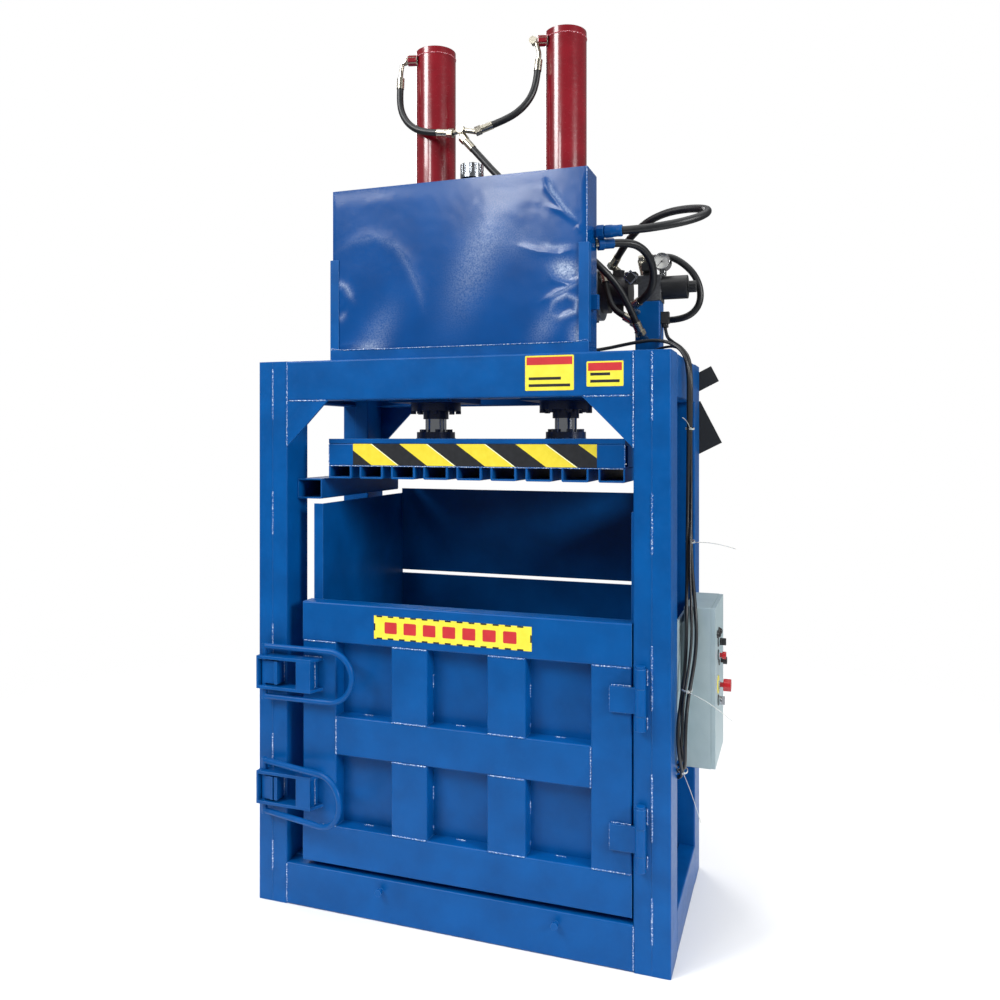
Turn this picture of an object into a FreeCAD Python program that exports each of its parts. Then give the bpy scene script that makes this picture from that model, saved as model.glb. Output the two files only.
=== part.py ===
"""Vertical two-cylinder recycling baler, in millimetres.

Origin: centre of the frame's footprint, on the floor. +X is to the right of
someone who faces the loading door, +Y points to the back and +Z is up.
"""
import FreeCAD, Part
import math
import os

V = FreeCAD.Vector
X, Y, Z = V(1, 0, 0), V(0, 1, 0), V(0, 0, 1)

# ---- driving dimensions -------------------------------------------------
WIDTH = 1466          # outside the posts, left to right
DEPTH = 750           # outside the posts, front to back
FRAME_TOP = 1920      # top of the posts and the top beams
POST_W = 116          # two channels, toe to toe
POST_D = 140          # height of the channel that everything is made of
FLANGE = 58           # width of one channel's flange
WALL = 6              # thickness of the channel
RAIL_H = 140          # height of the base rails
SILL_H = 146          # height of the front sill
GUSSET = 162          # leg of a corner gusset
PLATE = 8             # chamber plate

CHAMBER_L = -508      # inner faces of the chamber
CHAMBER_R = 600
CHAMBER_FRONT = -313
CHAMBER_BACK = 338
FLOOR_T = 12          # chamber floor plate
WALL_TOP = 1414       # top of the side walls
SLOT_Z = (1075, 1089)  # strapping slot between the two back panels
BACK_TOP = 1434
BACK_BAR = 12         # thickness of the upright bars behind the back panels
BACK_BARS_X = (-330, -55, 220, 440)

DOOR_X = (-552, 613)
DOOR_Z = (165, 1075)
DOOR_T = 60           # depth of the door's bars
SKIN_T = 5
DOOR_RAILS = ((165, 301), (549, 684), (938, 1075))
DOOR_STILES = ((-552, -420), (483, 613))
DOOR_RIBS = ((-209, -76), (137, 269))

HINGE_X, HINGE_Y = 643, -393
HINGE_R = 17
HINGE_PIN_R = 9
HINGES = ((754, 800, 883, 943), (325, 373, 456, 516))   # joints between knuckles, low to high
LEAF_LEFT = 545
LEAF_H = 80

LATCH_X, LATCH_Y = -690, -403        # vertical pivot of each latch
LATCHES = {"upper": 825, "lower": 420}   # height of each latch's centre
LATCH_GAP = 95        # between a bracket's two plates
LATCH_PLATE = 10
HANDLE_R = 10
HANDLE_REACH = 347    # from the pivot to the far side of the loop
HANDLE_HALF = 88      # half the distance between the loop's two legs
KEEPER_X = -640

CYL_X = (-210, 300)   # cylinder axes
CYL_Y = 12
BARREL_R, BORE_R, ROD_R = 75, 62.5, 40
BARREL_Z = (1780, 3110)
GLAND_R, GLAND_T = 95, 30
MOUNT_T = 20          # plate under the cross beams

PLATEN_X = (-494, 577)
PLATEN_Y = (-296, 325)
PLATEN_Z = (1505, 1550, 1630)        # bottom of the ribs, girders, top of the girders
PLATEN_T = 16
RIB_W, RIB_PITCH, RIBS = 90, 123, 9

TANK_X = (-456, 463)
TANK_Y = (-335, -200)
TANK_Z = (1926, 2516)
TANK_T = 3
CAP_X = 44            # filler neck

BOX_X = (745, 845)    # control box
BOX_Y = (-171, 115)
BOX_Z = (580, 1100)

UNIT_Y = 134          # stand post and valve block
PUMP_Y, PUMP_Z = 240, 2205


# ---- small helpers ------------------------------------------------------
def block(x, y, z):
    """A box from three (low, high) pairs."""
    return Part.makeBox(x[1] - x[0], y[1] - y[0], z[1] - z[0], V(x[0], y[0], z[0]))


def rod(radius, start, end):
    """A cylinder between two points."""
    return Part.makeCylinder(radius, (end - start).Length, start, end - start)


def ring(outer, inner, start, end):
    return rod(outer, start, end).cut(rod(inner, start, end))


def hexagon(across, start, end):
    """A hexagonal bar between two points."""
    axis = end - start
    radius = across / math.sqrt(3)
    corners = [V(radius * math.cos(math.radians(a)), radius * math.sin(math.radians(a)), 0)
               for a in range(0, 361, 60)]
    bar = Part.Face(Part.makePolygon(corners)).extrude(V(0, 0, axis.Length))
    bar.Placement = FreeCAD.Placement(start, FreeCAD.Rotation(Z, axis))
    return bar


def rounded(solid, radius, along):
    """Round the straight edges that run along an axis."""
    def runs_along(edge):
        if not isinstance(edge.Curve, Part.Line):
            return False
        return abs(edge.tangentAt(edge.FirstParameter).dot(along)) > 0.999
    return solid.makeFillet(radius, [e for e in solid.Edges if runs_along(e)])


def channel(x, y, z, web, run):
    """A rolled channel in the given box; web is the outward direction of its web, run its length."""
    inner = []
    for axis, (low, high) in zip((X, Y, Z), (x, y, z)):
        if abs(axis.dot(run)) > 0.5:
            inner.append((low - 1, high + 1))
        elif axis.dot(web) > 0.5:
            inner.append((low - 1 - WALL, high - WALL))
        elif axis.dot(web) < -0.5:
            inner.append((low + WALL, high + 1 + WALL))
        else:
            inner.append((low + WALL, high - WALL))
    toes = []
    for axis, (low, high) in zip((X, Y, Z), (x, y, z)):
        if axis.dot(web) > 0.5:
            toes.append((low - WALL, low))
        elif axis.dot(web) < -0.5:
            toes.append((high, high + WALL))
        else:
            toes.append((low, high))
    # the box is made longer on the open side, so only the web's own corners are rounded
    longer = [(min(a[0], b[0]), max(a[1], b[1])) for a, b in zip((x, y, z), toes)]
    outer = rounded(block(*longer), WALL, run).common(block(x, y, z))
    return outer.cut(block(*inner))


def bolt(radius, start, end, head):
    """A hexagon-head bolt whose head lies beyond its end."""
    way = (end - start).normalize()
    shank = rod(radius, start, end)
    return shank.fuse(hexagon(radius * 3.2, end, end + way * head)).removeSplitter()


def path_wire(points):
    """Straight runs joined by tangent arcs, each as large as its two runs allow."""
    edges, radii, start = [], [], points[0]
    for before, here, after in zip(points, points[1:], points[2:]):
        back, ahead = (before - here), (after - here)
        shorter = min(back.Length, ahead.Length)
        back.normalize()
        ahead.normalize()
        reach = 0.45 * shorter
        half_turn = (math.pi - back.getAngle(ahead)) / 2
        radius = reach / math.tan(half_turn)
        radii.append(radius)
        first, last = here + back * reach, here + ahead * reach
        inward = (back + ahead).normalize()
        middle = here + inward * (radius / math.cos(half_turn) - radius)
        edges.append(Part.LineSegment(start, first).toShape())
        edges.append(Part.Arc(first, middle, last).toShape())
        start = last
    edges.append(Part.LineSegment(start, points[-1]).toShape())
    return Part.Wire(edges), radii


def cord(node, diameter, route):
    """A plain tube along a cord's route, with its bends and volume printed."""
    points = [V(*p) for p in route]
    wire, radii = path_wire(points)
    section = Part.Wire(Part.makeCircle(diameter / 2, points[0], points[1] - points[0]))
    tube = wire.makePipeShell([section], True, False)
    if tube.Volume < 0:
        tube.reverse()
    expected = math.pi * diameter ** 2 / 4 * wire.Length
    tight = " ".join(f"{r / diameter:.1f}" for r in radii)
    print(f"{node}: {wire.Length:.0f} long, volume {tube.Volume / expected:.3f}, bends in diameters {tight}")
    save(node, tube)


def save(node, *solids):
    shape = solids[0] if len(solids) == 1 else Part.makeCompound(list(solids))
    if not shape.isValid():
        print("NOT VALID:", node)
    shape.exportStep(f"parts/{node}.step")


# ---- frame --------------------------------------------------------------
HALF_W, HALF_D = WIDTH / 2, DEPTH / 2
INNER_X = HALF_W - POST_W          # inner faces of the posts
INNER_Y = HALF_D - POST_D


def posts():
    """Each post is two channels welded toe to toe."""
    for side, sx in (("left", -1), ("right", 1)):
        for end, sy in (("front", -1), ("back", 1)):
            y = sorted((sy * HALF_D, sy * INNER_Y))
            outer = channel(sorted((sx * HALF_W, sx * (HALF_W - FLANGE))), y, (0, FRAME_TOP), X * sx, Z)
            inner = channel(sorted((sx * (HALF_W - FLANGE), sx * INNER_X)), y, (0, FRAME_TOP), X * -sx, Z)
            save(f"post_{end}_{side}", outer, inner)


def top_beams():
    z = (FRAME_TOP - POST_D, FRAME_TOP)
    front = channel((-INNER_X, INNER_X), (-HALF_D, -HALF_D + FLANGE), z, -Y, X)
    back = channel((-INNER_X, INNER_X), (HALF_D - FLANGE, HALF_D), z, Y, X)
    left = channel((-HALF_W, -HALF_W + FLANGE), (-INNER_Y, INNER_Y), z, -X, Y)
    right = channel((HALF_W - FLANGE, HALF_W), (-INNER_Y, INNER_Y), z, X, Y)
    save("top_beams", front, back, left, right)


CROSS_GAP = 100       # from the cylinders' axis to the web of a cross beam


def cylinder_beams():
    """Two cross beams and a bolted plate under them for each cylinder."""
    z = (FRAME_TOP - POST_D + MOUNT_T, FRAME_TOP)
    reach = HALF_W - FLANGE
    solids = []
    for sy in (-1, 1):
        y = sorted((CYL_Y + sy * CROSS_GAP, CYL_Y + sy * (CROSS_GAP + FLANGE)))
        solids.append(channel((-reach, reach), y, z, Y * -sy, X))
    for cx in CYL_X:
        plate = block((cx - 125, cx + 125), (CYL_Y - CROSS_GAP - 50, CYL_Y + CROSS_GAP + 50),
                      (FRAME_TOP - POST_D, z[0]))
        plate = plate.cut(rod(BARREL_R, V(cx, CYL_Y, 0), V(cx, CYL_Y, 3000)))
        for start in gland_bolt_places(cx):
            plate = plate.cut(rod(GLAND_BOLT_R + 0.5, start, start + Z * 200))
        solids.append(plate)
    save("cylinder_beams", *solids)


GLAND_BOLT_R, GLAND_PCD_R, GLAND_BOLTS = 6, 85, 8


def gland_bolt_places(cx):
    bottom = FRAME_TOP - POST_D - GLAND_T
    for i in range(GLAND_BOLTS):
        a = math.radians(22.5 + 360 / GLAND_BOLTS * i)
        yield V(cx + GLAND_PCD_R * math.cos(a), CYL_Y + GLAND_PCD_R * math.sin(a), bottom)


def corner_gussets():
    """Triangles under the ends of the front and back top beams, flush with the outside."""
    top = FRAME_TOP - POST_D
    solids = []
    for sx in (-1, 1):
        for y0 in (-HALF_D, HALF_D - 10):
            corners = [V(sx * INNER_X, y0, top), V(sx * (INNER_X - GUSSET), y0, top),
                       V(sx * INNER_X, y0, top - GUSSET), V(sx * INNER_X, y0, top)]
            solids.append(Part.Face(Part.makePolygon(corners)).extrude(V(0, 10, 0)))
    save("corner_gussets", *solids)


BEARER_PITCH = 350
STUDS = ((-246, 109), (371, 109))


def base_rails():
    """Front sill with its two studs, side and back rails, and three bearers under the chamber floor."""
    sill = channel((-INNER_X, INNER_X), (-HALF_D, -HALF_D + FLANGE), (0, SILL_H), -Y, X)
    back = channel((-INNER_X, INNER_X), (HALF_D - FLANGE, HALF_D), (0, RAIL_H), Y, X)
    left = channel((-HALF_W, -HALF_W + FLANGE), (-INNER_Y, INNER_Y), (0, RAIL_H), -X, Y)
    right = channel((HALF_W - FLANGE, HALF_W), (-INNER_Y, INNER_Y), (0, RAIL_H), X, Y)
    reach = HALF_D - FLANGE
    bearers = []
    for i in (-1, 0, 1):
        x0 = i * BEARER_PITCH - FLANGE / 2
        bearers.append(channel((x0, x0 + FLANGE), (-reach, reach), (0, RAIL_H), -X, Y))
    studs = [bolt(7, V(x, -HALF_D, z), V(x, -HALF_D - 16, z), 9) for x, z in STUDS]
    save("base_rails", sill, back, left, right, *bearers, *studs)


def chamber():
    """Floor, two side walls with a folded front edge, and two back panels with a slot between."""
    floor_top = RAIL_H + FLOOR_T
    reach = HALF_D - FLANGE
    save("chamber_floor", block((-INNER_X, INNER_X), (-reach, reach), (RAIL_H, floor_top)))

    left = block((CHAMBER_L - PLATE, CHAMBER_L), (CHAMBER_FRONT, CHAMBER_BACK + PLATE), (floor_top, WALL_TOP))
    fold = block((CHAMBER_L - 36, CHAMBER_L), (CHAMBER_FRONT, CHAMBER_FRONT + PLATE), (floor_top, WALL_TOP))
    wall = left.fuse(fold).removeSplitter()
    ribs = [block((CHAMBER_L - 48, CHAMBER_L - PLATE), (y, y + 10), (floor_top, WALL_TOP - 10))
            for y in (-120, 60, 240)]
    save("chamber_left_wall", wall, *ribs)

    right = block((CHAMBER_R, CHAMBER_R + PLATE), (CHAMBER_FRONT, CHAMBER_BACK + PLATE), (floor_top, WALL_TOP))
    fold = block((CHAMBER_R, INNER_X), (CHAMBER_FRONT, CHAMBER_FRONT + PLATE), (floor_top, WALL_TOP))
    save("chamber_right_wall", right.fuse(fold).removeSplitter())

    back = (CHAMBER_BACK, CHAMBER_BACK + PLATE)
    lower = block((CHAMBER_L, CHAMBER_R), back, (floor_top, SLOT_Z[0]))
    upper = block((CHAMBER_L, CHAMBER_R), back, (SLOT_Z[1], BACK_TOP))
    bars = [block((x, x + BACK_BAR), (CHAMBER_BACK + PLATE, HALF_D), z) for x in BACK_BARS_X
            for z in ((floor_top, SLOT_Z[0] - BACK_BAR), (SLOT_Z[1] + BACK_BAR, BACK_TOP - 20))]
    save("chamber_back", lower, upper, *bars)


def side_rail():
    """Square tube between the left posts, above the left wall."""
    x, y, z = (-INNER_X, CHAMBER_L - 8), (-307, HALF_D - FLANGE), (1431, 1503)
    tube = rounded(block(x, y, z), 6, Y)
    hollow = block((x[0] + 5, x[1] - 5), (y[0] - 1, y[1] + 1), (z[0] + 5, z[1] - 5))
    save("side_rail", tube.cut(hollow))


def hinge_and_keepers():
    """Fixed outer knuckles with their pins, and the lugs that the latch cams pull against."""
    solids = []
    for low, joint_1, joint_2, high in HINGES:
        for z0, z1 in ((low, joint_1 - 0.5), (joint_2 + 0.5, high)):
            knuckle = ring(HINGE_R, HINGE_PIN_R, V(HINGE_X, HINGE_Y, z0), V(HINGE_X, HINGE_Y, z1))
            pad = block((HINGE_X - 10, HINGE_X + 10), (HINGE_Y + 10, -HALF_D), (z0, z1))
            solids.append(knuckle.fuse(pad).removeSplitter())
        pin = rod(HINGE_PIN_R, V(HINGE_X, HINGE_Y, low - 2), V(HINGE_X, HINGE_Y, high))
        head = rod(HINGE_PIN_R + 5, V(HINGE_X, HINGE_Y, high), V(HINGE_X, HINGE_Y, high + 8))
        solids.append(pin.fuse(head).removeSplitter())
    save("hinge_knuckles", *solids)
    lugs = [block((KEEPER_X, KEEPER_X + 12), (-HALF_D - 46, -HALF_D), (z - 40, z + 40))
            for z in LATCHES.values()]
    save("latch_keepers", *lugs)


# ---- door ---------------------------------------------------------------
def door():
    y = (-HALF_D, -HALF_D + DOOR_T - SKIN_T)
    skin = block(DOOR_X, (y[1], y[1] + SKIN_T), DOOR_Z)
    save("door_skin", skin)
    bottom, middle, top = DOOR_RAILS
    between = (DOOR_STILES[0][1], DOOR_STILES[1][0])
    bars = [channel(DOOR_X, y, bottom, -Y, X), channel(between, y, middle, -Y, X), channel(DOOR_X, y, top, -Y, X)]
    bars += [channel(x, y, (bottom[1], top[0]), -Y, Z) for x in DOOR_STILES]
    for z in ((bottom[1], middle[0]), (middle[1], top[0])):
        bars += [channel(x, y, z, -Y, Z) for x in DOOR_RIBS]
    save("door_frame", *bars)


def hinge_leaves():
    """On the door: a middle knuckle and a leaf behind it for each hinge."""
    solids = []
    for low, joint_1, joint_2, high in HINGES:
        middle = ring(HINGE_R, HINGE_PIN_R + 0.05, V(HINGE_X, HINGE_Y, joint_1 + 0.5),
                      V(HINGE_X, HINGE_Y, joint_2 - 0.5))
        mid_z = (joint_1 + joint_2) / 2
        z = (mid_z - LEAF_H / 2, mid_z + LEAF_H / 2)
        leaf = block((LEAF_LEFT, HINGE_X - HINGE_R + 4), (-HALF_D - 12, -HALF_D), z)
        leaf = leaf.cut(block((DOOR_X[1] - 2, HINGE_X), (-HALF_D - 2, -HALF_D), z))
        bore = rod(HINGE_PIN_R + 0.05, V(HINGE_X, HINGE_Y, joint_1), V(HINGE_X, HINGE_Y, joint_2))
        solids.append(middle.fuse(leaf).cut(bore).removeSplitter())
    save("hinge_leaves", *solids)


def latch_brackets():
    """Two plates per latch, standing out of the door's edge, with a solid block between them."""
    solids = []
    for mid in LATCHES.values():
        outline = [(-709, -426), (-493, -426), (-471, -375), (-551, -375), (-551, -379), (-709, -379)]
        corners = [V(x, y, 0) for x, y in outline + outline[:1]]
        flat = Part.Face(Part.makePolygon(corners)).extrude(V(0, 0, LATCH_PLATE))
        bore = rod(HANDLE_R + 0.06, V(LATCH_X, LATCH_Y, -1), V(LATCH_X, LATCH_Y, LATCH_PLATE + 1))
        flat = flat.cut(bore)
        for z0 in (mid + LATCH_GAP / 2, mid - LATCH_GAP / 2 - LATCH_PLATE):
            plate = flat.copy()
            plate.translate(V(0, 0, z0))
            solids.append(plate)
        between = (mid - LATCH_GAP / 2, mid + LATCH_GAP / 2)
        solids.append(block((-549, -493), (-426, -375), between))
        solids.append(block((-709, LATCH_X - HANDLE_R - 2), (-426, -398), between))
    save("latch_brackets", *solids)


def latch_handle(name, mid, rest_turn):
    """U-shaped bar welded across a vertical pivot that carries a cam, turned about the pivot at rest."""
    far = LATCH_X + HANDLE_REACH - HANDLE_HALF
    low, high = V(LATCH_X, LATCH_Y, mid - HANDLE_HALF), V(LATCH_X, LATCH_Y, mid + HANDLE_HALF)
    bend_low, bend_high = V(far, LATCH_Y, low.z), V(far, LATCH_Y, high.z)
    bend = Part.Arc(bend_low, V(far + HANDLE_HALF, LATCH_Y, mid), bend_high).toShape()
    wire = Part.Wire([Part.LineSegment(low, bend_low).toShape(), bend,
                      Part.LineSegment(bend_high, high).toShape()])
    bar = wire.makePipeShell([Part.Wire(Part.makeCircle(HANDLE_R, low, X))], True, False)
    pivot = rod(HANDLE_R, low - Z * HANDLE_R, high + Z * HANDLE_R)
    cam = block((LATCH_X, KEEPER_X - 3), (LATCH_Y - HANDLE_R, LATCH_Y + HANDLE_R), (mid - 40, mid + 40))
    whole = bar.fuse([pivot, cam]).removeSplitter()
    whole.rotate(V(LATCH_X, LATCH_Y, 0), Z, -rest_turn)
    save(name, whole)


# ---- cylinders and platen -----------------------------------------------
def cylinders():
    barrels, glands, rods = [], [], []
    bottom, top = BARREL_Z
    for cx in CYL_X:
        def at(z):
            return V(cx, CYL_Y, z)
        body = ring(BARREL_R, BORE_R, at(bottom), at(top - 25))
        body = body.fuse(rod(BARREL_R, at(top - 25), at(top))).removeSplitter()
        barrels.append(body)
        gland_bottom = bottom - GLAND_T
        gland = rod(GLAND_R, at(gland_bottom), at(bottom)).fuse(rod(BORE_R - 0.05, at(bottom), at(bottom + 60)))
        gland = gland.fuse(rod(48, at(gland_bottom - 30), at(gland_bottom)))
        gland = gland.cut(rod(ROD_R + 0.06, at(gland_bottom - 40), at(bottom + 70)))
        for start in gland_bolt_places(cx):
            gland = gland.cut(rod(GLAND_BOLT_R, start - Z, start + Z * (GLAND_T + 1)))
        glands.append(gland.removeSplitter())
        for start in gland_bolt_places(cx):
            glands.append(bolt(GLAND_BOLT_R, start + Z * (GLAND_T + MOUNT_T), start, 11))
        rod_bottom, rod_top = PLATEN_Z[2] + PLATEN_T, top - 90
        rods.append(rod(ROD_R, at(rod_bottom), at(rod_top)))
        rods.append(rod(BORE_R - 0.08, at(rod_top), at(rod_top + 60)))
    save("cylinder_barrels", *barrels)
    save("cylinder_glands", *glands)
    save("piston_rods", *rods)


def rod_flanges():
    solids = []
    z0 = PLATEN_Z[2] + PLATEN_T
    for cx in CYL_X:
        flange = ring(72.5, ROD_R, V(cx, CYL_Y, z0), V(cx, CYL_Y, z0 + 25))
        solids.append(flange)
        for i in range(6):
            a = math.radians(60 * i)
            start = V(cx + 57 * math.cos(a), CYL_Y + 57 * math.sin(a), z0 + 25)
            solids.append(hexagon(19, start, start + Z * 10))
    save("rod_flanges", *solids)


def platen():
    """Girder ring with a top plate, over a row of open channels that make the baling grooves."""
    x0, x1 = PLATEN_X
    y0, y1 = PLATEN_Y
    z = PLATEN_Z[1:]
    wide = 50
    front = channel((x0, x1), (y0, y0 + wide), z, -Y, X)
    back = channel((x0, x1), (y1 - wide, y1), z, Y, X)
    inner_y = (y0 + wide, y1 - wide)
    sides = [channel((x0, x0 + wide), inner_y, z, -X, Y), channel((x1 - wide, x1), inner_y, z, X, Y)]
    middle = [channel((x - 25, x + 25), inner_y, z, X, Y) for x in CYL_X]
    save("platen_frame", front, back, *sides, *middle)
    save("platen_plate", block((x0, x1), (y0, y1), (z[1], z[1] + PLATEN_T)))
    ribs = []
    for i in range(RIBS):
        left = x0 + i * RIB_PITCH
        right = min(left + RIB_W, x1)
        ribs.append(channel((left, right), (y0, y1), (PLATEN_Z[0], PLATEN_Z[1]), -Z, Y))
    save("platen_ribs", *ribs)


# ---- oil tank -----------------------------------------------------------
NECK_R, CAP_R = 24, 40


def oil_tank():
    """Closed sheet tank with a filler neck, in an angle-iron cradle, with a breather cap that turns."""
    tank = rounded(block(TANK_X, TANK_Y, TANK_Z), 4, Z)
    hollow = block((TANK_X[0] + TANK_T, TANK_X[1] - TANK_T), (TANK_Y[0] + TANK_T, TANK_Y[1] - TANK_T),
                   (TANK_Z[0] + TANK_T, TANK_Z[1] - TANK_T))
    mid_y = sum(TANK_Y) / 2
    base, top = V(CAP_X, mid_y, TANK_Z[1]), V(CAP_X, mid_y, TANK_Z[1] + 14)
    neck = rod(NECK_R, base - Z * TANK_T, top)
    filler = rod(NECK_R - 4, base - Z * 10, top + Z)
    tank = tank.cut(hollow).fuse(neck).cut(filler).removeSplitter()
    save("oil_tank", tank)

    cap = rod(CAP_R, top + Z * 0.5, top + Z * 48)
    for i in range(14):
        a = math.radians(360 / 14 * i)
        groove = V(CAP_X + CAP_R * math.cos(a), mid_y + CAP_R * math.sin(a), top.z)
        cap = cap.cut(rod(4, groove + Z * 14, groove + Z * 50))
    stem = rod(NECK_R - 4.1, top - Z * 18, top + Z)
    save("filler_cap", cap.fuse(stem).removeSplitter())


LIP_H, UPRIGHT_TOP = 36, 2273
ANGLE = 27                              # leg of the upright angles
CLIP, CLIP_BACK, CLIP_Z = 24, 44, (2064, 2112)


def tank_cradle():
    """Plate under the tank with a low front lip, and an angle up each front corner."""
    low = FRAME_TOP
    base = block((TANK_X[0] - 6, TANK_X[1] + 6), (TANK_Y[0] - 6, -150), (low, low + 6))
    lip = block((TANK_X[0] - 6, TANK_X[1] + 6), (TANK_Y[0] - 6, TANK_Y[0]), (low + 6, low + LIP_H))
    solids = [base.fuse(lip).removeSplitter()]
    for side, x in ((1, TANK_X[0]), (-1, TANK_X[1])):
        flat = block(sorted((x - side * 6, x + side * ANGLE)), (TANK_Y[0] - 6, TANK_Y[0]),
                     (low + LIP_H, UPRIGHT_TOP))
        leg = block(sorted((x - side * 6, x)), (TANK_Y[0] - 6, TANK_Y[0] + ANGLE), (low + LIP_H, UPRIGHT_TOP))
        solids.append(flat.fuse(leg).removeSplitter())
        solids.append(block(sorted((x, x - side * CLIP)), (TANK_Y[0] + CLIP_BACK, TANK_Y[0] + CLIP_BACK + CLIP),
                            CLIP_Z))
    save("tank_cradle", *solids)


# ---- power unit ---------------------------------------------------------
STAND_X = (537, 627)
BLOCK_X, BLOCK_Z = (547, 660), (2140, 2236)
VALVE_Z = 2192
GAUGE = V(631, 112, 2283)
MOTOR_R = 115
MOTOR_X = (60, 385)
PUMP_X = (385, 495)


def power_unit():
    top = FRAME_TOP
    y = (UNIT_Y - 45, UNIT_Y + 45)
    foot = block((STAND_X[0] - 15, STAND_X[1] + 15), (y[0] - 15, y[1] + 15), (top, top + 10))
    post = rounded(block(STAND_X, y, (top + 10, BLOCK_Z[0])), 6, Z)
    bearers = [channel((x, x + FLANGE), (112, HALF_D), (top, top + POST_D), -X, Y)
               for x in (MOTOR_X[0] + 50, MOTOR_X[1] - 120)]
    save("unit_stand", foot, post, *bearers)

    axis = (V(MOTOR_X[0], PUMP_Y, PUMP_Z), V(MOTOR_X[1], PUMP_Y, PUMP_Z))
    casing = ring(MOTOR_R - 8, MOTOR_R - 18, axis[0] + X * 40, axis[1] - X * 12)
    for i in range(20):
        a = 360 / 20 * i
        fin = block((MOTOR_X[0] + 50, MOTOR_X[1] - 22), (PUMP_Y - 2, PUMP_Y + 2),
                    (PUMP_Z + MOTOR_R - 9, PUMP_Z + MOTOR_R))
        fin.rotate(axis[0], X, a)
        casing = casing.fuse(fin)
    drive_end = rod(MOTOR_R - 8, axis[1] - X * 12, axis[1]).cut(rod(12.05, axis[1] - X * 20, axis[1] + X))
    fan_end = rod(MOTOR_R - 8, axis[0] + X * 40, axis[0] + X * 52).cut(rod(12.05, axis[0], axis[0] + X * 60))
    cowl = ring(MOTOR_R, MOTOR_R - 2, axis[0], axis[0] + X * 44)
    grille = ring(MOTOR_R - 2, 60, axis[0], axis[0] + X * 2)
    terminals = block((MOTOR_X[0] + 110, MOTOR_X[0] + 210), (PUMP_Y - 50, PUMP_Y + 50),
                      (PUMP_Z + MOTOR_R - 12, PUMP_Z + MOTOR_R + 45))
    terminals = terminals.cut(rod(MOTOR_R - 10, axis[0], axis[1]))
    lead = V(*CABLES["cable_motor"][1][0])
    terminals = terminals.fuse(hexagon(24, lead, V(lead.x, PUMP_Y - 50, lead.z)))
    feet = [block((x, x + FLANGE), (PUMP_Y - 95, PUMP_Y + 95), (top + POST_D, PUMP_Z - 95))
            .cut(rod(MOTOR_R - 10, axis[0], axis[1])) for x in (MOTOR_X[0] + 50, MOTOR_X[1] - 120)]
    motor = casing.fuse([drive_end, fan_end, cowl, grille, terminals, *feet]).removeSplitter()
    save("electric_motor", motor)

    shaft = rod(12, axis[0] + X * 8, axis[1] + X * 24)
    core = rod(70, axis[0] + X * 90, axis[1] - X * 60)
    rotor = shaft.fuse([core, rod(28, axis[0] + X * 10, axis[0] + X * 34)])
    for i in range(7):
        blade = block((MOTOR_X[0] + 12, MOTOR_X[0] + 32), (PUMP_Y - 2, PUMP_Y + 2),
                      (PUMP_Z + 20, PUMP_Z + MOTOR_R - 12))
        blade.rotate(axis[0], X, 360 / 7 * i)
        rotor = rotor.fuse(blade)
    save("motor_rotor", rotor.removeSplitter())

    start, end = axis[1], V(PUMP_X[1], PUMP_Y, PUMP_Z)
    pump = rod(80, start, start + X * 30).fuse(rod(55, start + X * 30, end - X * 12))
    pump = pump.fuse(rod(62, end - X * 12, end)).fuse(hexagon(40, V(447, PUMP_Y, PUMP_Z + 50),
                                                              V(447, PUMP_Y, PUMP_Z + 80)))
    pump = pump.fuse(hexagon(34, V(447, PUMP_Y, PUMP_Z - 80), V(447, PUMP_Y, PUMP_Z - 50)))
    pump = pump.cut(rod(12.05, start - X, start + X * 26))
    save("hydraulic_pump", pump.removeSplitter())
    return post.fuse([pump, motor])


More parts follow.
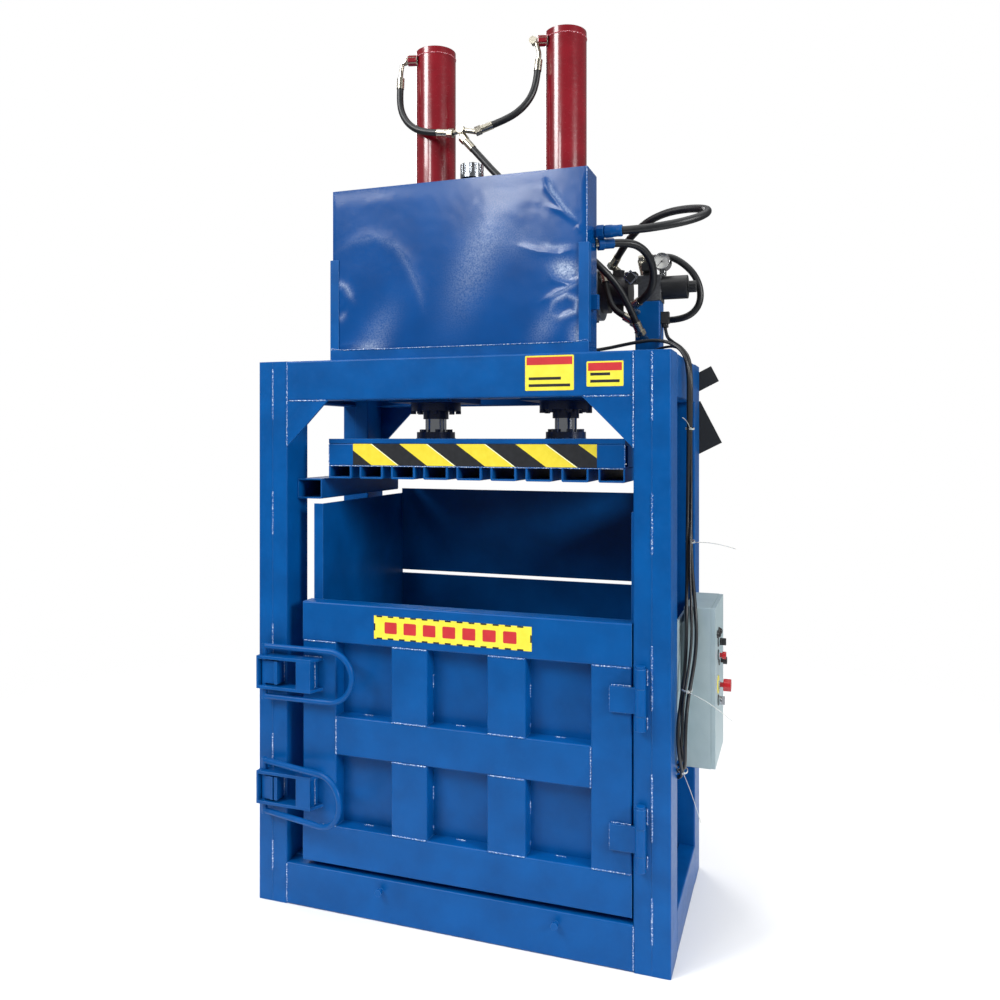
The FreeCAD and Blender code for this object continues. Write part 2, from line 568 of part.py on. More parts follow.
def valve_group():
    y = (UNIT_Y - 40, UNIT_Y + 40)
    manifold = block((BLOCK_X[0], 630), y, BLOCK_Z)
    save("valve_block", rounded(manifold, 4, X))

    coil = rod(42, V(630, UNIT_Y, VALVE_Z), V(720, UNIT_Y, VALVE_Z))
    spool = rounded(block((560, 600), (UNIT_Y - 20, UNIT_Y + 20), (BLOCK_Z[1], BLOCK_Z[1] + 50)), 4, Z)
    plug = rounded(block((563, 597), (UNIT_Y - 60, UNIT_Y - 20), (BLOCK_Z[1] + 12, BLOCK_Z[1] + 40)), 3, Y)
    side = rounded(block((505, BLOCK_X[0]), (UNIT_Y - 70, UNIT_Y - 28), (2205, 2245)), 4, Y)
    start = V(*CABLES["cable_valve"][1][0])
    lead_plug = block((STAND_X[1], start.x + 14), (start.y - 14, start.y + 14), (start.z + 14, start.z + 56))
    nut = hexagon(20, start, start + Z * 14)
    save("valve_coils", coil, spool, plug, side, lead_plug, nut)

    knob = rod(21, V(721, UNIT_Y, VALVE_Z), V(749, UNIT_Y, VALVE_Z))
    for i in range(10):
        a = math.radians(36 * i)
        groove = V(724, UNIT_Y + 22 * math.cos(a), VALVE_Z + 22 * math.sin(a))
        knob = knob.cut(rod(3, groove, groove + X * 30))
    save("relief_knob", knob)

    stem = hexagon(22, V(GAUGE.x, UNIT_Y, BLOCK_Z[1]), V(GAUGE.x, UNIT_Y, GAUGE.z - 26))
    front = GAUGE.y - 18
    case = rod(30, V(GAUGE.x, front, GAUGE.z), V(GAUGE.x, GAUGE.y + 36, GAUGE.z))
    case = case.cut(rod(27, V(GAUGE.x, front - 1, GAUGE.z), V(GAUGE.x, GAUGE.y - 4, GAUGE.z)))
    case = case.cut(rod(1.5, V(GAUGE.x, GAUGE.y - 5, GAUGE.z), V(GAUGE.x, GAUGE.y + 4, GAUGE.z)))
    stem = stem.fuse(rod(9, V(GAUGE.x, UNIT_Y, GAUGE.z - 32), V(GAUGE.x, UNIT_Y, GAUGE.z)))
    save("pressure_gauge", case.fuse(stem).removeSplitter())

    # the needle's arbor turns in the case; it points at the dial's zero, low on the left
    hub = rod(1.4, V(GAUGE.x, GAUGE.y - 9, GAUGE.z), V(GAUGE.x, GAUGE.y + 2, GAUGE.z))
    hub = hub.fuse(rod(3, V(GAUGE.x, GAUGE.y - 10, GAUGE.z), V(GAUGE.x, GAUGE.y - 7, GAUGE.z)))
    pointer = block((GAUGE.x - 0.9, GAUGE.x + 0.9), (GAUGE.y - 9, GAUGE.y - 8), (GAUGE.z - 8, GAUGE.z + 21))
    pointer.rotate(GAUGE, Y, -135)
    save("gauge_needle", hub.fuse(pointer).removeSplitter())
    return [manifold, spool]


# ---- control box --------------------------------------------------------
BUTTONS_Y = -80
STOP_Z, RED_Z, BLACK_Z, SELECTOR_Z, LOCK_Z = 832, 930, 905, 975, 780


def control_box():
    """Sheet box on a mounting plate on the right posts; its door faces +X and hinges at the back edge."""
    x0, x1 = BOX_X
    shell = rounded(block((x0, x1 - 14), BOX_Y, BOX_Z), 3, X)
    hollow = block((x0 + 2, x1), (BOX_Y[0] + 2, BOX_Y[1] - 2), (BOX_Z[0] + 2, BOX_Z[1] - 2))
    plate = block((HALF_W - 8, HALF_W), (-INNER_Y, INNER_Y), (BOX_Z[0] + 40, BOX_Z[1] - 40))
    feet = [block((HALF_W, x0), (y, y + 30), (BOX_Z[0] + 60, BOX_Z[1] - 60))
            for y in (BOX_Y[0] + 20, BOX_Y[1] - 50)]
    glands = []
    for diameter, route in CABLES.values():
        end = V(*route[-1])
        nut = hexagon(24, end, V(HALF_W - 6, end.y, end.z))
        glands.append(nut)
        plate = plate.cut(nut)
    save("control_box", shell.cut(hollow).fuse(feet).removeSplitter(), plate, *glands)

    gear = [block((x0 + 3, x0 + 58), (-120, -60), (650, 740)), block((x0 + 3, x0 + 50), (-40, 20), (650, 730)),
            block((x0 + 3, x0 + 40), (-130, 70), (770, 800)), block((x0 + 3, x0 + 62), (-10, 60), (850, 950))]
    save("control_gear", *gear)

    panel = rounded(block((x1 - 13.5, x1), (BOX_Y[0] + 1, BOX_Y[1] - 1), (BOX_Z[0] + 1, BOX_Z[1] - 1)), 3, X)
    inside = block((x1 - 15, x1 - 2), (BOX_Y[0] + 3, BOX_Y[1] - 3), (BOX_Z[0] + 3, BOX_Z[1] - 3))
    panel = panel.cut(inside)
    collars = []
    for z in (STOP_Z, RED_Z, BLACK_Z, SELECTOR_Z, LOCK_Z):
        centre = V(x1, control_y(z), z)
        panel = panel.cut(rod(8, centre - X * 20, centre + X))
        collars.append(ring(14, 8, centre - X * 16, centre + X * 6))
    lamps = [rod(9, V(x1 - 2, y, 1005), V(x1 + 9, y, 1005)) for y in (-112, -60)]
    save("control_door", panel.fuse(collars).fuse(lamps).removeSplitter())

    button("stop_button", STOP_Z, 20, 12, 24)
    button("red_button", RED_Z, 12, 8, 12)
    button("black_button", BLACK_Z, 12, 8, 12)
    turned_piece("selector_switch", SELECTOR_Z, 12, 20)
    turned_piece("lock_handle", LOCK_Z, 14, 16)


def control_y(z):
    """The two small buttons sit side by side; everything else is on one line."""
    return {RED_Z: BUTTONS_Y, BLACK_Z: BUTTONS_Y + 34}.get(z, BUTTONS_Y)


def button(node, z, radius, gap, depth):
    """Cap on a stem that slides in its collar; gap is the clear travel under the cap."""
    centre = V(BOX_X[1], control_y(z), z)
    stem = rod(7.94, centre - X * 12, centre + X * (6 + gap))
    cap = rod(radius, centre + X * (6 + gap), centre + X * (6 + gap + depth))
    save(node, stem.fuse(cap).removeSplitter())


def turned_piece(node, z, radius, depth):
    centre = V(BOX_X[1], control_y(z), z)
    stem = rod(7.94, centre - X * 12, centre + X * 6.5)
    boss = rod(radius, centre + X * 6.5, centre + X * 12)
    grip = block((centre.x + 12, centre.x + 6 + depth), (centre.y - 4, centre.y + 4),
                 (z - radius + 1, z + radius - 1))
    save(node, stem.fuse([boss, grip]).removeSplitter())


FLAP_LEAN = 27
FLAPS = ((777, 1924, 120, 65), (736, 1791, 131, 180))   # top outer corner x and z, width, height


def rear_flaps():
    """Two dark plates behind the back right post, each set askew."""
    solids = []
    for x, z, width, height in FLAPS:
        plate = block((x - width, x), (HALF_D, HALF_D + 6), (z - height, z))
        plate.rotate(V(x, 0, z), Y, -FLAP_LEAN)
        solids.append(plate)
    save("rear_flaps", *solids)


# ---- hose fittings, hoses and cables ------------------------------------
TEE = V(-62, -100, 2768)


def pipe(radius, *points):
    wire, _ = path_wire([V(*p) for p in points])
    first = V(*points[1]) - V(*points[0])
    section = Part.Wire(Part.makeCircle(radius, V(*points[0]), first))
    return wire.makePipeShell([section], True, False)


def hose_fittings(ported):
    """Fittings at both ends of every hose; ported is what the unit's and the tank's fittings screw into."""
    solids = []
    for cx, name in zip(CYL_X, ("left", "right")):
        start = HOSES[f"hose_{name}"][1][0]
        after = HOSES[f"hose_{name}"][1][1]
        port = V(cx - 52, CYL_Y - 52, 3072)
        way = V(-1, -0.25, 0).normalize()
        elbow = hexagon(34, port, port + way * 34).cut(rod(BARREL_R, V(cx, CYL_Y, 3000), V(cx, CYL_Y, 3110)))
        tip = port + way * 34
        solids.append(elbow.fuse(rod(12, tip, tip + way * 18)).fuse(
            rod(14, tip + way * 18 - Y * 12, tip + way * 18 + Y * 12)).removeSplitter())
        joint = tip + way * 18
        up = V(*start) - V(*after)
        up.normalize()
        top = V(*start) + up * 40
        solids.append(rod(14, V(*start), top))
        solids.append(pipe(8, top, top + up * 22, (top + up * 22 + joint) * 0.5 + Z * 16, joint))
    for name in ("hose_left", "hose_right", "hose_down"):
        route = HOSES[name][1]
        end, before = (route[-1], route[-2]) if name != "hose_down" else (route[0], route[1])
        way = (V(*end) - V(*before)).normalize()
        solids.append(rod(14, V(*end), V(*end) + way * 44))
        solids.append(hexagon(30, V(*end) + way * 44, V(*end) + way * 66))
        solids.append(rod(9, V(*end) + way * 66, TEE))
    solids.append(rod(15, TEE - Y * 16, TEE + Y * 16))
    for name, end in UNIT_ENDS:
        route = HOSES[name][1]
        last, before = (route[0], route[1]) if end == "start" else (route[-1], route[-2])
        way = (V(*last) - V(*before)).normalize()
        solids.append(rod(16, V(*last), V(*last) + way * 34).cut(ported))
        solids.append(hexagon(34, V(*last) + way * 34, V(*last) + way * 52).cut(ported))
        if (name, end) in PORTS:
            solids.append(rod(12, V(*last) + way * 46, V(*PORTS[name, end])).cut(ported))
    save("hose_fittings", *solids)


UNIT_ENDS = (("hose_suction", "start"), ("hose_suction", "end"), ("hose_return", "start"),
             ("hose_return", "end"), ("hose_drain", "start"), ("hose_drain", "end"),
             ("hose_pressure", "start"), ("hose_pressure", "end"), ("hose_down", "end"))

# where the adapter behind a swivel nut enters its port
PORTS = {("hose_down", "end"): (575, 92, 2004), ("hose_return", "start"): (463.01, -212.5, 2290.1),
         ("hose_return", "end"): (546, 92, 2103), ("hose_suction", "end"): (447, 240, 2282),
         ("hose_pressure", "start"): (560, 160, 2236), ("hose_pressure", "end"): (447, 240, 2128),
         ("hose_drain", "start"): (400, 190, 2255)}

HOSES = {
    "hose_left": (25, [(-326, -58, 2965), (-328, -60, 2912), (-310, -69, 2856), (-270, -82, 2808),
                       (-214, -94, 2778), (-156, -99, 2768)]),
    "hose_right": (25, [(214, -58, 2960), (209, -60, 2912), (192, -70, 2862), (160, -82, 2820),
                        (112, -93, 2789), (58, -99, 2772)]),
    "hose_down": (25, [(-14, -106, 2691), (26, -110, 2646), (77, -116, 2589), (155, -124, 2512),
                       (245, -131, 2429), (339, -134, 2344), (416, -128, 2274), (461, -112, 2229),
                       (492, -88, 2194), (518, -56, 2152), (540, -24, 2102), (556, 2, 2056)]),
    "hose_suction": (27, [(553, -230, 2326), (612, -229, 2326), (681, -215, 2334), (750, -185, 2350),
                          (800, -140, 2374), (817, -90, 2401), (796, -38, 2424), (737, 0, 2438),
                          (664, 35, 2441), (595, 70, 2427), (542, 105, 2403), (494, 145, 2368), (452, 190, 2326)]),
    "hose_return": (27, [(515, -186, 2296), (564, -158, 2302), (604, -116, 2286), (626, -72, 2246),
                         (626, -34, 2196), (604, 0, 2152), (566, 24, 2132)]),
    "hose_drain": (22, [(416, 150, 2226), (428, 138, 2180), (443, 129, 2140), (464, 123, 2112),
                        (493, 121, 2094)]),
    "hose_pressure": (25, [(584, 202, 2316), (635, 204, 2323), (683, 205, 2300), (728, 206, 2258),
                           (752, 206, 2210), (758, 207, 2162), (744, 208, 2122), (712, 212, 2096),
                           (664, 218, 2086), (604, 228, 2088), (540, 240, 2094)]),
}

CABLES = {
    "cable_motor": (12, [(220, 176, 2336), (216, 138, 2322), (204, 104, 2276), (190, 76, 2206),
                         (180, 44, 2124), (182, 0, 2044), (202, -52, 1982), (252, -94, 1948),
                         (326, -110, 1940), (398, -96, 1948), (466, -72, 1958), (528, -68, 1970),
                         (586, -76, 1978), (644, -90, 1980), (698, -110, 1966), (741, -128, 1930),
                         (755, -134, 1866), (752, -113, 1778), (750, -92, 1687), (747, -76, 1593),
                         (745, -67, 1497), (744, -68, 1402), (745, -83, 1310), (748, -112, 1227),
                         (752, -149, 1151), (755, -189, 1079), (756, -196, 1006), (755, -208, 937),
                         (752, -229, 872), (747, -259, 812), (742, -288, 753), (743, -298, 690),
                         (750, -286, 626), (750, -242, 574), (716, -206, 552), (676, -190, 556),
                         (646, -184, 592), (638, -180, 640), (654, -178, 686), (700, -178, 704)]),
    "cable_valve": (12, [(642, 116, 2046), (650, 84, 2010), (680, 42, 1984), (716, 2, 1960),
                         (748, -40, 1918), (756, -64, 1844), (754, -56, 1751), (752, -47, 1658),
                         (751, -39, 1565), (751, -37, 1472), (752, -46, 1381), (756, -70, 1297),
                         (763, -107, 1222), (774, -148, 1153), (784, -185, 1088), (789, -199, 1015),
                         (786, -215, 945), (777, -237, 880), (769, -264, 821), (766, -286, 764),
                         (765, -294, 705), (764, -288, 646), (757, -247, 600), (726, -208, 573),
                         (684, -182, 576), (656, -170, 612), (652, -164, 660), (668, -160, 704),
                         (704, -160, 724)]),
    "cable_gauge": (9, [(560, 20, 1934), (612, -2, 1950), (664, -34, 1962), (712, -68, 1958),
                        (747, -90, 1914), (757, -94, 1840), (754, -81, 1749), (753, -69, 1658),
                        (753, -61, 1566), (755, -61, 1474), (756, -72, 1384), (756, -94, 1299),
                        (759, -126, 1222), (765, -159, 1150), (771, -185, 1079), (774, -203, 1008),
                        (770, -222, 939), (762, -247, 874), (756, -272, 813), (755, -287, 752),
                        (752, -292, 692), (753, -257, 630), (731, -212, 592), (690, -182, 600),
                        (668, -164, 634), (666, -152, 680), (682, -146, 722), (710, -144, 744)]),
}


def cords():
    for table in (HOSES, CABLES):
        for node, (diameter, route) in table.items():
            cord(node, diameter, route)


def build():
    os.makedirs("parts", exist_ok=True)
    posts()
    top_beams()
    cylinder_beams()
    corner_gussets()
    base_rails()
    chamber()
    side_rail()
    hinge_and_keepers()
    door()
    hinge_leaves()
    latch_brackets()
    latch_handle("handle_upper", LATCHES["upper"], 0)
    latch_handle("handle_lower", LATCHES["lower"], 12)
    cylinders()
    rod_flanges()
    platen()
    oil_tank()
    tank_cradle()
    ported = power_unit().fuse([*valve_group(), block(TANK_X, TANK_Y, (FRAME_TOP, UPRIGHT_TOP + 200))])
    control_box()
    rear_flaps()
    hose_fittings(ported)
    cords()


build()
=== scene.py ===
"""Vertical two-cylinder recycling baler: the visible materials and fine detail."""

import bpy
import bmesh
import math
import random
from mathutils import Matrix, Vector, noise


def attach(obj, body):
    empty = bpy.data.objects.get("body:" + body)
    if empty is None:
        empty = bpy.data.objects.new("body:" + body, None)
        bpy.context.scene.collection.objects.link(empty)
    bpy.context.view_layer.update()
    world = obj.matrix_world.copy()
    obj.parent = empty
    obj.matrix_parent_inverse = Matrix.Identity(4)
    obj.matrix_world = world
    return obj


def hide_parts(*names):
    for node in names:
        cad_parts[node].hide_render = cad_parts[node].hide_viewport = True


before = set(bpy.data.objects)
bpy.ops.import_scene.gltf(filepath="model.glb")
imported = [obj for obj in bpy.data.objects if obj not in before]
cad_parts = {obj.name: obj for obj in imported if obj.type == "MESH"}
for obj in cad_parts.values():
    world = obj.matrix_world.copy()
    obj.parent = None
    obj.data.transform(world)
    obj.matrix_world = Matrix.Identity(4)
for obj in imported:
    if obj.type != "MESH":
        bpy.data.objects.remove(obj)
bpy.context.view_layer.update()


# ---- camera -------------------------------------------------------------
# A level view at a standing person's eye height, from the right of the door.
camera = bpy.data.objects.new("camera", bpy.data.cameras.new("camera"))
bpy.context.scene.collection.objects.link(camera)
camera.location = (1.119, -3.069, 1.65)
camera.rotation_euler = (math.radians(90), 0, math.radians(19.17))
camera.data.sensor_width = 36
camera.data.lens = 31.64
camera.data.shift_y = -0.0624
bpy.context.scene.camera = camera


# ---- hydraulic hoses ----------------------------------------------------
# Smooth-covered rubber hoses with wire braid inside, each swaged into a fitting
# at both ends. They are pressed on their tails and held by nothing else.
def linear(code):
    """A material colour from an sRGB hex code."""
    parts = [int(code[i:i + 2], 16) / 255 for i in (1, 3, 5)]
    return [c / 12.92 if c <= 0.04045 else ((c + 0.055) / 1.055) ** 2.4 for c in parts] + [1.0]


def add(tree, kind, inputs=None, **settings):
    """One shader node with its settings, and its inputs set or linked."""
    made = tree.nodes.new("ShaderNode" + kind)
    for name, value in settings.items():
        setattr(made, name, value)
    for name, value in (inputs or {}).items():
        if isinstance(value, bpy.types.NodeSocket):
            tree.links.new(value, made.inputs[name])
        else:
            made.inputs[name].default_value = value
    return made


def start_material(name):
    """An empty material and its tree, with the object's own coordinates in metres."""
    made = bpy.data.materials.new(name)
    made.use_nodes = True
    made.node_tree.nodes.clear()
    place = add(made.node_tree, "TexCoord").outputs["Object"]
    return made, made.node_tree, place


def finish_material(tree, shader):
    add(tree, "OutputMaterial", {"Surface": shader.outputs["BSDF"]})


# Extruded nitrile rubber cover: near black, a soft sheen, faint extrusion drag lines.
nitrile_rubber, tree, place = start_material("nitrile_rubber_extruded")
clouds = add(tree, "TexNoise", {"Vector": place, "Scale": 55, "Detail": 4})
shade = add(tree, "MixRGB", {"Fac": clouds.outputs["Fac"], "Color1": linear("#07090C"),
                             "Color2": linear("#14181D")})
grip = add(tree, "MapRange", {"Value": clouds.outputs["Fac"], "To Min": 0.34, "To Max": 0.52})
skin = add(tree, "TexNoise", {"Vector": place, "Scale": 700, "Detail": 2})
rough = add(tree, "Bump", {"Height": skin.outputs["Fac"], "Strength": 0.15, "Distance": 0.0004})
finish_material(tree, add(tree, "BsdfPrincipled", {
    "Base Color": shade.outputs["Color"], "Roughness": grip.outputs["Result"],
    "Normal": rough.outputs["Normal"], "IOR": 1.52}))

HOSES = {
    "hose_left": (25, [(-326, -58, 2965), (-328, -60, 2912), (-310, -69, 2856), (-270, -82, 2808),
                       (-214, -94, 2778), (-156, -99, 2768)]),
    "hose_right": (25, [(214, -58, 2960), (209, -60, 2912), (192, -70, 2862), (160, -82, 2820),
                        (112, -93, 2789), (58, -99, 2772)]),
    "hose_down": (25, [(-14, -106, 2691), (26, -110, 2646), (77, -116, 2589), (155, -124, 2512),
                       (245, -131, 2429), (339, -134, 2344), (416, -128, 2274), (461, -112, 2229),
                       (492, -88, 2194), (518, -56, 2152), (540, -24, 2102), (556, 2, 2056)]),
    "hose_suction": (27, [(553, -230, 2326), (612, -229, 2326), (681, -215, 2334), (750, -185, 2350),
                          (800, -140, 2374), (817, -90, 2401), (796, -38, 2424), (737, 0, 2438),
                          (664, 35, 2441), (595, 70, 2427), (542, 105, 2403), (494, 145, 2368),
                          (452, 190, 2326)]),
    "hose_return": (27, [(515, -186, 2296), (564, -158, 2302), (604, -116, 2286), (626, -72, 2246),
                         (626, -34, 2196), (604, 0, 2152), (566, 24, 2132)]),
    "hose_drain": (22, [(416, 150, 2226), (428, 138, 2180), (443, 129, 2140), (464, 123, 2112),
                        (493, 121, 2094)]),
    "hose_pressure": (25, [(584, 202, 2316), (635, 204, 2323), (683, 205, 2300), (728, 206, 2258),
                           (752, 206, 2210), (758, 207, 2162), (744, 208, 2122), (712, 212, 2096),
                           (664, 218, 2086), (604, 228, 2088), (540, 240, 2094)]),
}


def cord_curve(name, diameter, route, material):
    """One smooth spline with the route's points, as thick as the cord."""
    data = bpy.data.curves.new(name, "CURVE")
    data.dimensions = "3D"
    line = data.splines.new("NURBS")
    line.points.add(len(route) - 1)
    for point, place in zip(line.points, route):
        point.co = [c / 1000 for c in place] + [1.0]
    line.order_u = 3
    line.use_endpoint_u = True
    line.resolution_u = 10
    data.bevel_depth = diameter / 2000
    data.bevel_resolution = 5
    data.use_fill_caps = True
    data.materials.append(material)
    made = bpy.data.objects.new(name, data)
    bpy.context.scene.collection.objects.link(made)
    return made


for node, (diameter, route) in HOSES.items():
    hose = cord_curve(node + "_rubber", diameter, route, nitrile_rubber)
    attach(hose, "frame")
    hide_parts(node)


# ---- electric leads -----------------------------------------------------
# Round PVC-sheathed control leads from the motor and the valves, tied in one
# bundle down the right side of the frame and into the box's mounting plate.
pvc_sheath, tree, place = start_material("pvc_sheath_extruded")
clouds = add(tree, "TexNoise", {"Vector": place, "Scale": 90, "Detail": 3})
shade = add(tree, "MixRGB", {"Fac": clouds.outputs["Fac"], "Color1": linear("#121315"),
                             "Color2": linear("#26282B")})
skin = add(tree, "TexNoise", {"Vector": place, "Scale": 900, "Detail": 1})
rough = add(tree, "Bump", {"Height": skin.outputs["Fac"], "Strength": 0.1, "Distance": 0.0003})
finish_material(tree, add(tree, "BsdfPrincipled", {
    "Base Color": shade.outputs["Color"], "Roughness": 0.38, "Normal": rough.outputs["Normal"], "IOR": 1.53}))

CABLES = {
    "cable_motor": (12, [(220, 176, 2336), (216, 138, 2322), (204, 104, 2276), (190, 76, 2206),
                         (180, 44, 2124), (182, 0, 2044), (202, -52, 1982), (252, -94, 1948),
                         (326, -110, 1940), (398, -96, 1948), (466, -72, 1958), (528, -68, 1970),
                         (586, -76, 1978), (644, -90, 1980), (698, -110, 1966), (741, -128, 1930),
                         (755, -134, 1866), (752, -113, 1778), (750, -92, 1687), (747, -76, 1593),
                         (745, -67, 1497), (744, -68, 1402), (745, -83, 1310), (748, -112, 1227),
                         (752, -149, 1151), (755, -189, 1079), (756, -196, 1006), (755, -208, 937),
                         (752, -229, 872), (747, -259, 812), (742, -288, 753), (743, -298, 690),
                         (750, -286, 626), (750, -242, 574), (716, -206, 552), (676, -190, 556),
                         (646, -184, 592), (638, -180, 640), (654, -178, 686), (700, -178, 704)]),
    "cable_valve": (12, [(642, 116, 2046), (650, 84, 2010), (680, 42, 1984), (716, 2, 1960),
                         (748, -40, 1918), (756, -64, 1844), (754, -56, 1751), (752, -47, 1658),
                         (751, -39, 1565), (751, -37, 1472), (752, -46, 1381), (756, -70, 1297),
                         (763, -107, 1222), (774, -148, 1153), (784, -185, 1088), (789, -199, 1015),
                         (786, -215, 945), (777, -237, 880), (769, -264, 821), (766, -286, 764),
                         (765, -294, 705), (764, -288, 646), (757, -247, 600), (726, -208, 573),
                         (684, -182, 576), (656, -170, 612), (652, -164, 660), (668, -160, 704),
                         (704, -160, 724)]),
    "cable_gauge": (9, [(560, 20, 1934), (612, -2, 1950), (664, -34, 1962), (712, -68, 1958),
                        (747, -90, 1914), (757, -94, 1840), (754, -81, 1749), (753, -69, 1658),
                        (753, -61, 1566), (755, -61, 1474), (756, -72, 1384), (756, -94, 1299),
                        (759, -126, 1222), (765, -159, 1150), (771, -185, 1079), (774, -203, 1008),
                        (770, -222, 939), (762, -247, 874), (756, -272, 813), (755, -287, 752),
                        (752, -292, 692), (753, -257, 630), (731, -212, 592), (690, -182, 600),
                        (668, -164, 634), (666, -152, 680), (682, -146, 722), (710, -144, 744)]),
}

for node, (diameter, route) in CABLES.items():
    lead = cord_curve(node + "_sheath", diameter, route, pvc_sheath)
    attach(lead, "frame")
    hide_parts(node)

# ---- cable ties ---------------------------------------------------------
# Nylon zip ties round the bundle, pulled tight with their tails left on.
nylon, tree, place = start_material("nylon_66_moulded")
clouds = add(tree, "TexNoise", {"Vector": place, "Scale": 300})
shade = add(tree, "MixRGB", {"Fac": clouds.outputs["Fac"], "Color1": linear("#B4B7B4"),
                             "Color2": linear("#D2D4D0")})
finish_material(tree, add(tree, "BsdfPrincipled", {
    "Base Color": shade.outputs["Color"], "Roughness": 0.42, "IOR": 1.53, "Subsurface Weight": 0.1}))

TIES = (((752, -68, 1680), (14, 25), (-14, -70, 30), 90), ((752, -62, 1300), (15, 26), (150, -20, -14), 150),
        ((764, -240, 850), (16, 24), (140, -40, -66), 160),
        ((750, -240, 592), (16, 22), (60, -60, -120), 150))


def mesh_piece(name, shape, materials, body, smooth=True):
    """A finished bmesh as an object that rides on a body."""
    data = bpy.data.meshes.new(name)
    shape.normal_update()
    shape.to_mesh(data)
    shape.free()
    for material in materials:
        data.materials.append(material)
    for face in data.polygons:
        face.use_smooth = smooth
    made = bpy.data.objects.new(name, data)
    bpy.context.scene.collection.objects.link(made)
    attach(made, body)
    return made


def strip(shape, points, across, thick, closed=False):
    """A flat band that follows points; across is the direction of its width."""
    rings = []
    count = len(points)
    for i, here in enumerate(points):
        ahead = points[(i + 1) % count] if closed or i < count - 1 else here
        behind = points[i - 1] if closed or i else here
        way = (ahead - behind).normalized()
        wide = (across - way * across.dot(way)).normalized() * across.length / 2
        out = way.cross(wide).normalized() * thick / 2
        rings.append([shape.verts.new(here + a * wide + b * out)
                      for a, b in ((-1, -1), (1, -1), (1, 1), (-1, 1))])
    pairs = list(zip(rings, rings[1:]))
    if closed:
        pairs.append((rings[-1], rings[0]))
    else:
        shape.faces.new(rings[0])
        shape.faces.new(rings[-1][::-1])
    for one, two in pairs:
        for k in range(4):
            shape.faces.new((one[k], two[k], two[(k + 1) % 4], one[(k + 1) % 4]))


shape = bmesh.new()
for centre, (half_x, half_y), tail, reach in TIES:
    centre, tail = Vector(centre) / 1000, Vector(tail) / 1000
    loop = [centre + Vector((half_x * math.cos(a), half_y * math.sin(a), 2 * math.sin(2 * a))) / 1000
            for a in (math.tau * i / 24 for i in range(24))]
    strip(shape, loop, Vector((0, 0, 0.0048)), 0.0014, closed=True)
    root = centre + Vector((half_x * 0.3, -half_y, 0)) / 1000
    bmesh.ops.create_cube(shape, size=0.0075, matrix=Matrix.Translation(root))
    strip(shape, [root + tail.normalized() * reach / 1000 * t + Vector((0, 0, 0.008 * math.sin(t * 3.1)))
                  for t in (0, 0.2, 0.4, 0.6, 0.8, 1)], Vector((0, 0.0018, 0.0010)), 0.0009)
mesh_piece("cable_ties", shape, [nylon], "frame", smooth=False)


# ---- blue machine enamel ------------------------------------------------
# Everything welded from rolled channel, angle and plate is one colour: alkyd
# machine enamel sprayed straight over the steel and its welds, left glossy.
blue_enamel, tree, place = start_material("alkyd_machine_enamel_blue")
# Spray passes lie a hand's width apart and change the depth of the colour a little.
passes = add(tree, "TexNoise", {"Vector": place, "Scale": 1 / 0.12, "Detail": 3})
mottle = add(tree, "TexNoise", {"Vector": place, "Scale": 1 / 0.018, "Detail": 4, "Roughness": 0.6})
depth = add(tree, "MixRGB", {"Fac": passes.outputs["Fac"], "Color1": linear("#003E78"),
                             "Color2": linear("#005BA6")})
dusty = add(tree, "MapRange", {"Value": mottle.outputs["Fac"], "From Min": 0.5, "From Max": 0.85,
                               "To Max": 0.10})
dust = add(tree, "MixRGB", {"Fac": dusty.outputs["Result"], "Color1": depth.outputs["Color"],
                            "Color2": linear("#2368B4")})
# Corners are paler on a 2.5 mm round: partly enamel thinned there, partly a painted highlight where edges
# catch light.
edge = add(tree, "Bevel", {"Radius": 0.0025}, samples=4)
flat = add(tree, "NewGeometry")
turn = add(tree, "VectorMath", {0: edge.outputs["Normal"], 1: flat.outputs["Normal"]},
           operation="DOT_PRODUCT")
corner = add(tree, "MapRange", {"Value": turn.outputs["Value"], "From Min": 0.99, "From Max": 0.80,
                                "To Max": 0.45})
paint = add(tree, "MixRGB", {"Fac": corner.outputs["Result"], "Color1": dust.outputs["Color"],
                             "Color2": linear("#5C97DA")})
# Orange peel of about 5 mm, and mill scale ripple of about 90 mm under it.
peel = add(tree, "TexNoise", {"Vector": place, "Scale": 1 / 0.005, "Detail": 2})
ripple = add(tree, "TexNoise", {"Vector": place, "Scale": 1 / 0.09, "Detail": 2})
waves = add(tree, "Bump", {"Height": ripple.outputs["Fac"], "Normal": edge.outputs["Normal"],
                           "Strength": 0.35, "Distance": 0.0030})
peeled = add(tree, "Bump", {"Height": peel.outputs["Fac"], "Normal": waves.outputs["Normal"],
                            "Strength": 0.22, "Distance": 0.0005})
gloss = add(tree, "MapRange", {"Value": mottle.outputs["Fac"], "To Min": 0.26, "To Max": 0.46})
finish_material(tree, add(tree, "BsdfPrincipled", {
    "Base Color": paint.outputs["Color"], "Roughness": gloss.outputs["Result"],
    "Normal": peeled.outputs["Normal"],
    "IOR": 1.50, "Specular IOR Level": 0.18}))


def coat(material, *nodes):
    """Give CAD nodes a better material in their own slots."""
    for node in nodes:
        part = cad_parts[node]
        if not part.material_slots:
            part.data.materials.append(material)
        for place in part.material_slots:
            place.material = material


coat(blue_enamel, "post_front_left", "post_front_right", "post_back_left", "post_back_right", "top_beams",
     "cylinder_beams", "corner_gussets", "base_rails", "chamber_floor", "chamber_left_wall",
     "chamber_right_wall",
     "chamber_back", "side_rail", "hinge_knuckles", "latch_keepers", "oil_tank", "tank_cradle", "unit_stand",
     "platen_plate", "platen_ribs", "platen_frame", "door_skin", "door_frame", "hinge_leaves",
     "latch_brackets",
     "handle_upper", "handle_lower")
